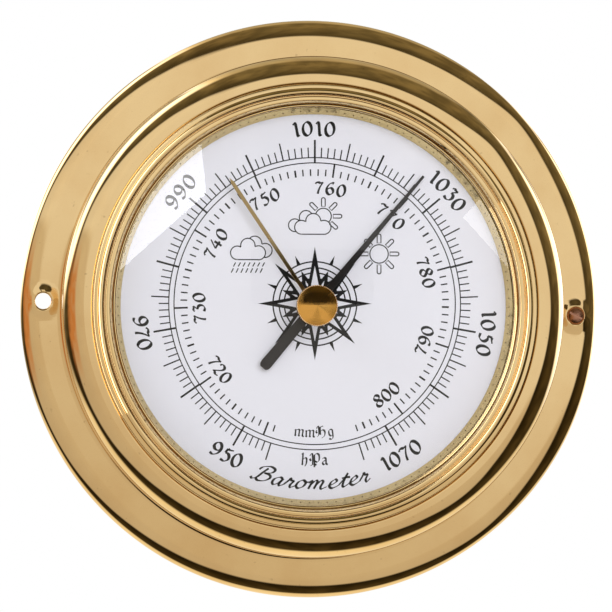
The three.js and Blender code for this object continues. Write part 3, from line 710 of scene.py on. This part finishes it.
class Print:
    """Collects thin solid strokes and patches of print, which become one piece."""

    def __init__(self, name, top=INK_TOP):
        self.name = name
        self.top = top
        self.vertices = []
        self.faces = []

    def prism(self, left, right, closed=False):
        """A band between two lines of points, made solid."""
        start = len(self.vertices)
        count = len(left)
        for a, b in zip(left, right):
            self.vertices += [(a[0], -self.top, a[1]), (b[0], -self.top, b[1])]
            self.vertices += [(b[0], -INK_BASE, b[1]), (a[0], -INK_BASE, a[1])]
        for i in range(count if closed else count - 1):
            here, there = start + 4 * i, start + 4 * ((i + 1) % count)
            for j in range(4):
                k = (j + 1) % 4
                self.faces.append((here + j, here + k, there + k, there + j))
        if not closed:
            end = start + 4 * (count - 1)
            self.faces.append((start, start + 1, start + 2, start + 3))
            self.faces.append((end + 3, end + 2, end + 1, end))

    def line(self, points, width, closed=False):
        """A stroke of even width, or of one width per point."""
        widths = width if isinstance(width, list) else [width] * len(points)
        left, right = [], []
        for i, (x, y) in enumerate(points):
            dx, dy = heading(points, i, closed)
            half = widths[i] / 2
            left.append((x - dy * half, y + dx * half))
            right.append((x + dy * half, y - dx * half))
        self.prism(left, right, closed)

    def patch(self, points):
        """A filled convex outline."""
        start = len(self.vertices)
        count = len(points)
        self.vertices += [(x, -self.top, y) for x, y in points]
        self.vertices += [(x, -INK_BASE, y) for x, y in points]
        self.faces.append(tuple(range(start, start + count)))
        self.faces.append(tuple(range(start + 2 * count - 1, start + count - 1, -1)))
        for i in range(count):
            j = (i + 1) % count
            self.faces.append((start + i, start + j, start + count + j, start + count + i))

    def finish(self, material=INK, slot="black_paint"):
        dx, dz = PRINT_OFFSET
        moved = [(x + dx, y, z + dz) for x, y, z in self.vertices]
        return fit(new_piece(self.name, moved, self.faces, material), "case", slot)


def heading(points, i, closed=False):
    """Unit direction of a line of points at one of them."""
    count = len(points)
    before = points[(i - 1) % count] if closed else points[max(0, i - 1)]
    after = points[(i + 1) % count] if closed else points[min(count - 1, i + 1)]
    dx, dy = after[0] - before[0], after[1] - before[1]
    length = math.hypot(dx, dy) or 1.0
    return dx / length, dy / length


def smooth_line(points, steps=7, closed=False):
    """Catmull-Rom curve through some points."""
    count = len(points)
    result = []
    for i in range(count if closed else count - 1):
        picks = []
        for j in (i - 1, i, i + 1, i + 2):
            picks.append(points[j % count] if closed else points[min(max(j, 0), count - 1)])
        for s in range(steps):
            t = s / steps
            result.append(tuple(catmull(picks, t, axis) for axis in (0, 1)))
    if not closed:
        result.append(points[-1])
    return result


def catmull(picks, t, axis):
    a, b, c, d = (p[axis] for p in picks)
    square = 2 * a - 5 * b + 4 * c - d
    cube = 3 * b - a - 3 * c + d
    return 0.5 * (2 * b + (c - a) * t + square * t * t + cube * t ** 3)


def nib_widths(points, thick, thin, nib_angle, closed=False):
    """Widths that a broad nib held at an angle leaves along a line."""
    widths = []
    for i in range(len(points)):
        dx, dy = heading(points, i, closed)
        across = math.atan2(dy, dx) - math.radians(nib_angle)
        widths.append(math.hypot(thick * math.sin(across), thin))
    return widths


def circle_line(centre, radius, start=0.0, end=360.0, steps=96):
    """Points of a circle, without the last one if it is whole."""
    points = circle_part(radius, start, end, steps)
    if end - start == 360:
        points.pop()
    return [(centre[0] + x, centre[1] + y) for x, y in points]


# Each glyph is its advance width and its strokes, in hundredths of a unit. A stroke is a row of x,y points,
# and it is closed if it ends where it starts. The nib gives the strokes their thick and thin parts.
# One unit is the height of a digit, or of a small letter without its stem.
DIGITS = {
    "0": (84, "36,94 17,82 8,52 15,20 35,6 56,19 64,50 55,82 36,94"),
    "1": (58, "6,80 14,91 23,84 27,55 30,20 34,8 46,10"),
    "2": (80, "10,74 16,90 34,95 52,84 50,62 32,36 7,6 / 7,7 22,12 42,4 64,12"),
    "3": (74, "10,82 18,93 34,91 52,93 / 52,93 26,60 / 26,60 46,56 56,38 50,16 30,5 8,12"),
    "4": (80, "46,96 5,32 / 5,32 30,33 68,30 / 48,66 48,30 46,2"),
    "5": (76, "24,90 40,89 62,96 / 24,90 18,60 / 18,60 38,61 54,46 54,24 36,6 8,8"),
    "6": (82, "60,92 46,96 24,80 10,48 16,18 36,5 58,18 60,40 44,56 24,50 12,36"),
    "7": (78, "6,78 12,89 28,91 44,87 64,93 / 64,93 44,62 31,30 26,3"),
    "8": (78, "50,88 32,95 16,82 20,64 40,50 58,32 52,12 32,5 12,16 12,36 30,50 50,62 56,76 50,88"),
    "9": (82, "60,62 48,46 26,44 11,60 16,84 34,95 54,84 62,56 54,26 32,6 8,9"),
}
BLACKLETTER = {
    "m": (172, "2,84 20,100 / 22,100 22,10 / 10,14 36,0 / 26,82 56,100 78,90 78,10 / 66,14 92,0 / "
               "84,82 112,100 134,90 134,12 158,0"),
    "H": (195, "18,130 34,160 52,146 50,40 22,2 / 22,110 10,80 26,62 / 74,148 74,30 / "
               "74,76 106,104 138,92 146,50 130,6 92,-20 / 52,140 84,152 124,166"),
    "g": (120, "72,96 42,100 18,80 18,28 42,2 72,20 / 72,98 74,30 68,-30 40,-50 10,-34"),
    "h": (125, "12,145 24,160 30,140 28,12 / 20,14 38,0 / 34,74 66,100 86,80 84,20 66,-20"),
    "P": (175, "10,130 30,158 50,144 50,20 20,-10 / 76,144 76,-30 / "
               "76,144 112,162 142,140 142,70 114,44 76,60 / 30,102 12,84 30,62 / 50,6 76,16 104,0"),
    "a": (115, "20,84 44,100 70,84 70,18 92,2 / 68,62 34,52 20,30 36,4 68,22"),
}
SCRIPT = {
    "B": (162, "62,172 48,100 36,30 10,2 -10,22 / 5,130 20,174 70,200 116,178 110,130 62,104 / "
               "62,104 112,98 130,60 106,12 62,-4 34,16"),
    "a": (108, "70,84 44,100 12,70 12,22 34,0 62,30 74,92 / 74,92 70,22 84,0 108,26"),
    "r": (92, "0,26 20,84 24,108 38,86 64,84 / 64,84 52,30 66,0 92,26"),
    "o": (102, "44,100 14,78 10,28 36,0 68,24 72,72 44,100 / 50,96 76,80 102,88"),
    "m": (172, "0,70 16,100 22,70 18,0 / 20,40 44,96 66,86 64,0 / "
               "66,40 90,96 114,86 112,24 128,0 162,26"),
    "e": (92, "0,30 36,46 60,78 42,100 16,72 14,24 40,0 72,12 92,30"),
    "t": (84, "0,30 30,94 46,156 / 46,156 32,60 36,8 56,2 84,28 / 8,102 40,108 76,104"),
}


def glyph_strokes(text):
    """Lines of points of a glyph, in units."""
    strokes = []
    for run in text.split("/"):
        pairs = [point.split(",") for point in run.split()]
        strokes.append([(int(x) / 100, int(y) / 100) for x, y in pairs])
    return strokes


@dataclass
class Lettering:
    """A set of glyphs with the height, nib and slant that they are drawn with."""

    glyphs: dict
    height: float
    thick: float
    thin: float
    nib_angle: float
    slant: float = 0.0
    stretch: float = 1.0

    def advance(self, letter):
        return self.glyphs[letter][0] / 100 * self.height * self.stretch

    def along_arc(self, target, text, radius, middle, inward=False):
        """Sets a text along an arc about the dial's centre; middle is a dial angle in degrees."""
        total = sum(self.advance(letter) for letter in text)
        turn = -1 if inward else 1
        reached = -total / 2
        for letter in text:
            width = self.advance(letter)
            angle = middle + turn * math.degrees((reached + width / 2) / radius)
            self.draw(target, letter, width, radius, angle, inward)
            reached += width

    def draw(self, target, letter, width, radius, angle, inward):
        lean = -angle + (180 if inward else 0)
        origin = dial_point(radius, angle)
        for stroke in glyph_strokes(self.glyphs[letter][1]):
            closed = stroke[0] == stroke[-1]
            line = smooth_line(stroke[:-1] if closed else stroke, closed=closed)
            widths = nib_widths(line, self.thick, self.thin, self.nib_angle, closed)
            flat = [((x * self.stretch + self.slant * y) * self.height - width / 2, y * self.height)
                    for x, y in line]
            target.line(rotated(flat, lean, origin), [w * self.height for w in widths], closed)


HPA_AT_TOP = 1010
HPA_STEP = 2.5
HPA_CIRCLE = 36.3
HPA_LONG_END = 40.7
HPA_SHORT_END = 38.8
INNER_CIRCLE = 35.0
MMHG_AT = 760
MMHG_ANGLE = 8.1
MMHG_STEP = 3.333
MMHG_START = 33.4
CIRCLE_LINE = 0.27
UPRIGHT_FROM = -95           # numbers between these angles have their tops outward
UPRIGHT_TO = 105


def hpa_angle(pressure):
    return (pressure - HPA_AT_TOP) * HPA_STEP


def mmhg_angle(pressure):
    return MMHG_ANGLE + (pressure - MMHG_AT) * MMHG_STEP


def ticks(ink, pressures, angle_of, tens, fives, ones):
    """Lines of a scale; each kind of line is its inner radius, outer radius and width."""
    for pressure in pressures:
        inner, outer, width = ones
        if pressure % 5 == 0:
            inner, outer, width = fives
        if pressure % 10 == 0:
            inner, outer, width = tens
        angle = angle_of(pressure)
        ink.line([dial_point(inner, angle), dial_point(outer, angle)], width)


def dial_scale():
    ink = Print("dial_scale")
    for radius in (HPA_CIRCLE, INNER_CIRCLE):
        ink.line(circle_line((0, 0), radius, steps=240), CIRCLE_LINE, closed=True)
    ticks(ink, range(945, 1076), hpa_angle,
          (INNER_CIRCLE, HPA_LONG_END, 0.48), (HPA_CIRCLE, HPA_LONG_END, 0.34),
          (HPA_CIRCLE, HPA_SHORT_END, 0.30))
    ticks(ink, range(709, 807), mmhg_angle,
          (INNER_CIRCLE, 31.6, 0.44), (MMHG_START, 31.65, 0.46), (MMHG_START, 31.75, 0.34))
    ink.finish()


def numbers(ink, pressures, angle_of, radius, height, thick, thin):
    """Numbers of a scale, each on the line that it names."""
    digits = Lettering(DIGITS, height, thick, thin, 38)
    for pressure in pressures:
        angle = angle_of(pressure)
        inward = not UPRIGHT_FROM < angle < UPRIGHT_TO
        digits.along_arc(ink, str(pressure), radius + (height if inward else 0), angle, inward)


def dial_numbers():
    ink = Print("dial_numbers")
    numbers(ink, range(950, 1071, 20), hpa_angle, 41.6, 3.8, 0.205, 0.07)
    numbers(ink, range(720, 801, 10), mmhg_angle, 27.2, 3.25, 0.21, 0.075)
    ink.finish()


def dial_lettering():
    ink = Print("dial_lettering")
    Lettering(BLACKLETTER, 1.6, 0.28, 0.07, 40).along_arc(ink, "mmHg", 33.1, 180, inward=True)
    Lettering(BLACKLETTER, 1.75, 0.28, 0.07, 40).along_arc(ink, "hPa", 40.1, 180, inward=True)
    script = Lettering(SCRIPT, 2.05, 0.33, 0.10, 40, slant=0.5, stretch=1.48)
    script.along_arc(ink, "Barometer", 46.0, 181.5, inward=True)
    ink.finish()


ICON_LINE = 0.28
RAIN_STEP = 1.2
RAIN_SLANT = 0.55
RAIN_ROWS = ((10.2, 9.2), (8.75, 7.65))       # top and bottom of each row


@dataclass
class Cloud:
    """A cloud of round lobes (x, y, radius) on a flat base (y, left, right), drawn in outline."""

    lobes: list
    base: tuple = None

    def covers(self, x, y, skip=None):
        for i, (cx, cy, r) in enumerate(self.lobes):
            if i != skip and math.hypot(x - cx, y - cy) < r:
                return True
        if self.base is None:
            return False
        low, left, right = self.base
        return left < x < right and low < y < max(lobe[1] for lobe in self.lobes) - 1.0

    def draw(self, target, behind=()):
        """Draws what neither the other lobes nor the clouds in front hide."""
        for i, (cx, cy, r) in enumerate(self.lobes):
            run = []
            for x, y in circle_line((cx, cy), r, -90, 270.0001, 120):
                if self.covers(x, y, i) or any(shape.covers(x, y) for shape in behind):
                    draw_run(target, run)
                    run = []
                else:
                    run.append((x, y))
            draw_run(target, run)
        if self.base is not None:
            low, left, right = self.base
            target.line([(left, low), (right, low)], ICON_LINE)


def draw_run(target, run):
    if len(run) > 2:
        target.line(run, ICON_LINE)


def two_clouds(target, lobes, base, rear_lobes):
    """A cloud with a second one behind it."""
    front, rear = Cloud(lobes, base), Cloud(rear_lobes)
    front.draw(target)
    rear.draw(target, behind=(front,))
    return front, rear


def capsule_outline(target, centre, angle, start, end, half):
    """Outline of a round-ended ray that points away from a centre."""
    outline = [(start, half), (start, -half)]
    for x, y in circle_part(half, -90, 90, 12):
        outline.append((end - half + x, y))
    target.line(rotated(outline, angle, centre), ICON_LINE, closed=True)


def dial_icons():
    """Sun behind clouds at the top, rain on the left and sun on the right."""
    ink = Print("dial_icons")
    clouds = two_clouds(ink, [(-3.31, 18.97, 1.72), (-0.40, 20.55, 1.85), (2.27, 18.97, 1.74)],
                        (17.24, -3.31, 2.27), [(-4.98, 19.47, 1.57), (-2.19, 21.46, 1.67)])
    sun = (2.12, 21.74)
    Cloud([(*sun, 1.97)]).draw(ink, behind=clouds)
    for angle in (-42, 0, 45, 90, 135):
        capsule_outline(ink, sun, angle, 2.45, 4.6, 0.46)
    two_clouds(ink, [(-19.30, 12.60, 1.67), (-16.66, 14.42, 1.78), (-14.02, 12.60, 1.74)],
               (10.90, -19.30, -14.02), [(-14.94, 14.99, 1.74), (-12.38, 13.20, 1.74)])
    for row, (high, low) in enumerate(RAIN_ROWS):
        for i in range(7):
            x = -19.7 + RAIN_STEP * i - RAIN_SLANT * row
            ink.line([(x, high), (x - RAIN_SLANT, low)], ICON_LINE)
    sun = (15.99, 12.38)
    ink.line(circle_line(sun, 2.29, steps=60), ICON_LINE, closed=True)
    for i in range(8):
        capsule_outline(ink, sun, 45 * i, 2.72, 4.95, 0.47)
    ink.finish()


COMPASS_RINGS = (10.41, 8.89, 7.62, 6.23)
# Rays of each kind: name, height over the other print, first angle, root, half width there, tip, material.
COMPASS_RAYS = (
    ("compass_small_rays", 0.01, 22.5, 3.4, 1.75, 8.8, INK, "black_paint"),
    ("compass_small_cores", 0.02, 22.5, 2.6, 0.82, 6.2, WHITE, "dial_white"),
    ("compass_rays", 0.03, 0.0, 2.6, 2.05, 14.1, INK, "black_paint"),
    ("compass_cores", 0.04, 0.0, 2.2, 1.42, 9.4, WHITE, "dial_white"),
)


def eight_rays(target, first, root, half, tip):
    """Slender triangles that point away from the dial's centre."""
    for i in range(8):
        target.patch(rotated([(root, -half), (tip, 0.0), (root, half)], first + 45 * i))


def dial_compass():
    rings = Print("compass_rings")
    for radius in COMPASS_RINGS:
        rings.line(circle_line((0, 0), radius, steps=144), 0.35, closed=True)
    eight_rays(rings, 22.5, 10.3, 0.50, 12.9)
    rings.finish()
    for name, above, first, root, half, tip, material, slot in COMPASS_RAYS:
        rays = Print(name, INK_TOP + above)
        eight_rays(rays, first, root, half, tip)
        rays.finish(material, slot)


def dial_sheet():
    profile = [(2.5, DIAL_BACK), (DIAL_RADIUS, DIAL_BACK), (DIAL_RADIUS, DIAL_FACE - 0.08)]
    profile += [(DIAL_RADIUS - 0.08, DIAL_FACE), (2.58, DIAL_FACE), (2.5, DIAL_FACE - 0.08)]
    return fit(turned("dial_sheet", profile, WHITE, 256), "case", "dial_white", "dial_card")


dial_sheet()
dial_scale()
dial_numbers()
dial_lettering()
dial_icons()
dial_compass()


# ---------------- studio

STUDIO_DISTANCE = 1.2
# The left and right windows stand where the glass mirrors them into the photograph's bright patches.
# A separate program turned points of those patches into slopes. The first and last corners of the left
# window are these slopes, and the right window's come from the slopes of its patch.
LEFT_WINDOW = [(-0.147, 0.237), (-0.185, 0.60), (-0.60, 0.60), (-0.60, -0.16), (-0.286, 0.115)]
RIGHT_WINDOW = [(0.349, 0.197), (0.60, 0.461), (0.60, -0.065)]
SIDE_WINDOW = [(-0.60, -0.35), (-2.6, -1.5), (-2.6, 2.6), (-0.75, 1.6)]


def stage_panel(name, corners, strength, receiver):
    """A glowing clear panel that one piece alone mirrors; its corners are slopes from the dial."""
    far = STUDIO_DISTANCE
    mesh = bpy.data.meshes.new(name)
    mesh.from_pydata([(x * far, -far, z * far) for x, z in corners], [], [tuple(range(len(corners)))])
    material = bpy.data.materials.new(name)
    material.use_nodes = True
    n = Nodes(material.node_tree)
    n.tree.nodes.clear()
    glow = n.add("ShaderNodeEmission")
    glow.inputs["Strength"].default_value = strength
    both = n.add("ShaderNodeAddShader")
    n.link(glow.outputs["Emission"], both.inputs[0])
    n.link(n.add("ShaderNodeBsdfTransparent").outputs["BSDF"], both.inputs[1])
    n.link(both.outputs["Shader"], n.add("ShaderNodeOutputMaterial").inputs["Surface"])
    mesh.materials.append(material)
    panel = add_object(name, mesh)
    panel.visible_camera = False
    receivers = bpy.data.collections.new(name)
    receivers.objects.link(receiver)
    panel.light_linking.receiver_collection = receivers


def soft_light(name, place, size, power):
    """Area light that lights matt surfaces and leaves no mark in the polished ones."""
    data = bpy.data.lights.new(name, "AREA")
    data.shape = "DISK"
    data.size = size
    data.energy = power
    light = add_object(name, data)
    light.location = place
    light.rotation_euler = (-Vector(place)).to_track_quat("-Z", "Y").to_euler()
    light.visible_camera = False
    light.visible_glossy = False


class WorldNodes(Nodes):
    """Nodes of the world."""

    def __init__(self):
        world = bpy.data.worlds.new("studio")
        bpy.context.scene.world = world
        world.use_nodes = True
        super().__init__(world.node_tree)
        self.tree.nodes.clear()

    def scale(self, colour, factor):
        """A colour times a number."""
        node = self.add("ShaderNodeVectorMath", operation="SCALE")
        self.link(colour, node.inputs[0])
        self.link(factor, node.inputs["Scale"])
        return node.outputs["Vector"]

    def add_colours(self, first, second):
        node = self.add("ShaderNodeVectorMath", operation="ADD")
        self.link(first, node.inputs[0])
        self.link(second, node.inputs[1])
        return node.outputs["Vector"]

    def background(self, colour):
        node = self.add("ShaderNodeBackground")
        self.feed(node.inputs["Color"], colour)
        node.inputs["Strength"].default_value = 1.0
        return node.outputs["Background"]


FRONT_GLOW = 0.84
GLOW_EDGE = 6.0                     # half the width of the glow's soft edge, in degrees
REAR_EDGE = 8.0
GLOW_BELOW = (0.76, 0.70, 0.62)     # the glow's colour under the horizon
GLOW_ABOVE = (1.0, 1.0, 1.0)
REAR_WARM = (1.0, 0.92, 0.70)       # the light behind where it is weak
REAR_WHITE = (1.0, 1.0, 1.0)        # and where it is strong
DARK_ABOVE = (0.135, 0.112, 0.060)
DARK_BELOW = (0.042, 0.031, 0.013)
EMBER = (0.62, 0.29, 0.12)          # something warm far to the left
STREAK_COUNT = 14.0
# The room round the object. Each row: direction about the viewing axis, anticlockwise from the right; how far
# the front glow reaches from that axis; where the light from behind begins; and how strong that light is.
# The rows were picked by hand, and adjusted over several renders, from a plot that a separate program made
# of the colours that the photograph's brass mirrors from each direction.
ROOM = (
    (0, 44, 112, 2.4), (20, 35, 113, 2.6), (32, 46, 118, 2.2), (41, 66, 138, 1.0), (48, 38, 148, 0.3),
    (56, 18, 125, 0.25), (75, 13, 116, 0.32), (95, 15, 116, 0.32), (108, 28, 114, 0.7),
    (120, 47, 110, 2.3), (135, 71, 109, 2.8), (150, 93, 110, 2.8), (168, 98, 118, 2.2),
    (180, 98, 145, 0.35), (192, 102, 140, 0.4), (205, 100, 122, 0.9), (218, 86, 117, 0.9),
    (232, 64, 112, 0.95), (252, 46, 107, 0.95), (270, 40, 104, 1.0), (287, 46, 109, 0.95),
    (302, 62, 116, 0.95), (312, 74, 120, 0.95), (322, 58, 124, 0.9), (340, 38, 130, 1.0),
    (351, 38, 119, 1.8), (360, 44, 112, 2.4),
)
REACH_SCALE = 180.0
LEVEL_SCALE = 3.0


def room_outline(n, turn):
    """Reads the room's rows as a smooth ramp, whose three channels are their three values."""
    node = n.add("ShaderNodeValToRGB")
    n.link(turn, node.inputs["Fac"])
    ramp = node.color_ramp
    ramp.interpolation = "CARDINAL"
    while len(ramp.elements) < len(ROOM):
        ramp.elements.new(1.0)
    for stop, (direction, reach, rear, level) in zip(ramp.elements, ROOM):
        stop.position = direction / 360
        stop.color = (reach / REACH_SCALE, rear / REACH_SCALE, level / LEVEL_SCALE, 1.0)
    channels = n.add("ShaderNodeSeparateColor")
    n.link(node.outputs["Color"], channels.inputs["Color"])
    reach, rear, level = channels.outputs
    return (n.times(reach, REACH_SCALE), n.times(rear, REACH_SCALE),
            n.times(level, LEVEL_SCALE))


def streaks(n, side, angle):
    """Uneven light and shade in the dark of the room, drawn out along the viewing axis."""
    place = n.add("ShaderNodeCombineXYZ")
    n.link(n.times(n.math("COSINE", side), STREAK_COUNT), place.inputs["X"])
    n.link(n.times(n.math("SINE", side), STREAK_COUNT), place.inputs["Y"])
    n.link(n.times(angle, 0.03), place.inputs["Z"])
    cloud = n.add("ShaderNodeTexNoise")
    cloud.inputs["Scale"].default_value = 1.0
    cloud.inputs["Detail"].default_value = 3.0
    n.link(place.outputs["Vector"], cloud.inputs["Vector"])
    return n.ramp(cloud.outputs["Fac"], 0.3, 0.7, 0.72, 1.28)


def studio_world():
    """Room as the polished brass sees it: a glow in front, a dark band round it, and light behind."""
    n = WorldNodes()
    place = n.add("ShaderNodeTexCoord").outputs["Generated"]
    split = n.add("ShaderNodeSeparateXYZ")
    n.link(place, split.inputs["Vector"])
    right, back, up = split.outputs
    angle = n.times(n.math("ARCCOSINE", n.times(back, -1.0)), 180 / math.pi)
    side = n.math("ARCTAN2", up, right)
    turn = n.math("FRACT", n.plus(n.math("DIVIDE", side, 2 * math.pi), 1.0))
    reach, rear_start, rear_level = room_outline(n, turn)
    front = n.ramp(n.minus(angle, reach), -GLOW_EDGE, GLOW_EDGE, 1.0, 0.0)
    fade = n.ramp(angle, 15.0, 90.0, 1.0, 0.92)
    glow = n.times(n.times(front, fade), FRONT_GLOW)
    slope = n.plus(up, n.times(right, 0.35))
    bright = n.mix(n.ramp(slope, -0.005, 0.055, 0.0, 1.0), GLOW_BELOW, GLOW_ABOVE)
    behind = n.ramp(n.minus(angle, rear_start), -REAR_EDGE, REAR_EDGE, 0.0, 1.0)
    white = n.ramp(rear_level, 1.2, 2.0, 0.0, 1.0)
    high = n.times(white, n.ramp(up, 0.12, 0.30, 0.0, 1.0))
    spent = n.times(n.ramp(angle, 128.0, 140.0, 0.0, 0.88), high)
    behind = n.times(behind, n.minus(1.0, spent))
    tinted = n.mix(n.ramp(rear_level, 0.9, 1.3, 0.0, 1.0), REAR_WARM, REAR_WHITE)
    dark = n.mix(n.ramp(up, -0.25, 0.25, 0.0, 1.0), DARK_BELOW, DARK_ABOVE)
    depth = n.ramp(n.minus(angle, reach), 0.0, 60.0, 0.55, 1.5)
    dark = n.scale(dark, n.times(depth, streaks(n, side, angle)))
    room = n.add_colours(n.scale(bright, glow), n.scale(tinted, n.times(behind, rear_level)))
    room = n.add_colours(room, dark)
    level_left = n.ramp(n.math("ABSOLUTE", up), 0.08, 0.34, 1.0, 0.0)
    ember = n.times(n.ramp(right, -0.97, -0.84, 0.9, 0.0), level_left)
    lit = n.background(n.mix(n.times(ember, streaks(n, side, angle)), room, EMBER))
    plain = n.background((1.0, 1.0, 1.0))
    choose = n.add("ShaderNodeMixShader")
    n.link(n.add("ShaderNodeLightPath").outputs["Is Camera Ray"], choose.inputs["Fac"])
    n.link(lit, choose.inputs[1])
    n.link(plain, choose.inputs[2])
    output = n.add("ShaderNodeOutputWorld")
    n.link(choose.outputs["Shader"], output.inputs["Surface"])


FLAG_GAP = 10.0                     # clear space between the knob and its flag
FLAG_HALF_WIDTH = 17.0
FLAG_LOW = 1.0
FLAG_HIGH = 16.0


def knob_flag():
    """A dark card close in front of the knob: the knob's upper half mirrors it, and nothing else meets it."""
    y = -(KNOB_FRONT + FLAG_GAP)
    wide, low, high = FLAG_HALF_WIDTH, FLAG_LOW, FLAG_HIGH
    corners = [(-wide, y, low), (wide, y, low), (wide, y, high), (-wide, y, high)]
    card = new_piece("knob_flag", corners, [(0, 1, 2, 3)], RUBBER)
    card.visible_camera = False
    card.visible_diffuse = False
    card.visible_transmission = False
    card.visible_shadow = False


def pale_floor():
    mesh = bpy.data.meshes.new("floor")
    far, level = 3.0, -0.30
    corners = [(-far, -far, level), (far, -far, level), (far, far, level), (-far, far, level)]
    mesh.from_pydata(corners, [], [(0, 1, 2, 3)])
    mesh.materials.append(paint("floor_paint", (0.86, 0.86, 0.86), (0.84, 0.84, 0.84), 0.8, 0.05, 60.0))
    floor = add_object("floor", mesh)
    floor.visible_glossy = False


CAMERA_DISTANCE = 1.5
CAMERA_AZIMUTH = -3.35
CAMERA_ELEVATION = -1.35
CAMERA_FOCAL = 351.0
CAMERA_AIM = (-0.8, 0.68)


def camera():
    data = bpy.data.cameras.new("camera")
    data.lens = CAMERA_FOCAL
    data.sensor_width = 36.0
    data.clip_start = 0.05
    data.clip_end = 30.0
    eye = add_object("camera", data)
    azimuth, elevation = math.radians(CAMERA_AZIMUTH), math.radians(CAMERA_ELEVATION)
    direction = Vector((math.sin(azimuth) * math.cos(elevation), -math.cos(azimuth) * math.cos(elevation),
                        math.sin(elevation)))
    aim = Vector((CAMERA_AIM[0] * MM, 0.0, CAMERA_AIM[1] * MM))
    eye.location = aim + direction * CAMERA_DISTANCE
    eye.rotation_euler = (-direction).to_track_quat("-Z", "Y").to_euler()
    bpy.context.scene.camera = eye


studio_world()
pale_floor()
camera()
stage_panel("panel_left", LEFT_WINDOW, 9.0, GLASS_PIECE)
stage_panel("panel_right", RIGHT_WINDOW, 5.0, GLASS_PIECE)
stage_panel("panel_rim", SIDE_WINDOW, 2.6, BEZEL_PIECE)
knob_flag()
soft_light("fill_light", (0.15, -1.6, 0.25), 0.9, 15.0)
bpy.context.scene.view_settings.view_transform = "Standard"
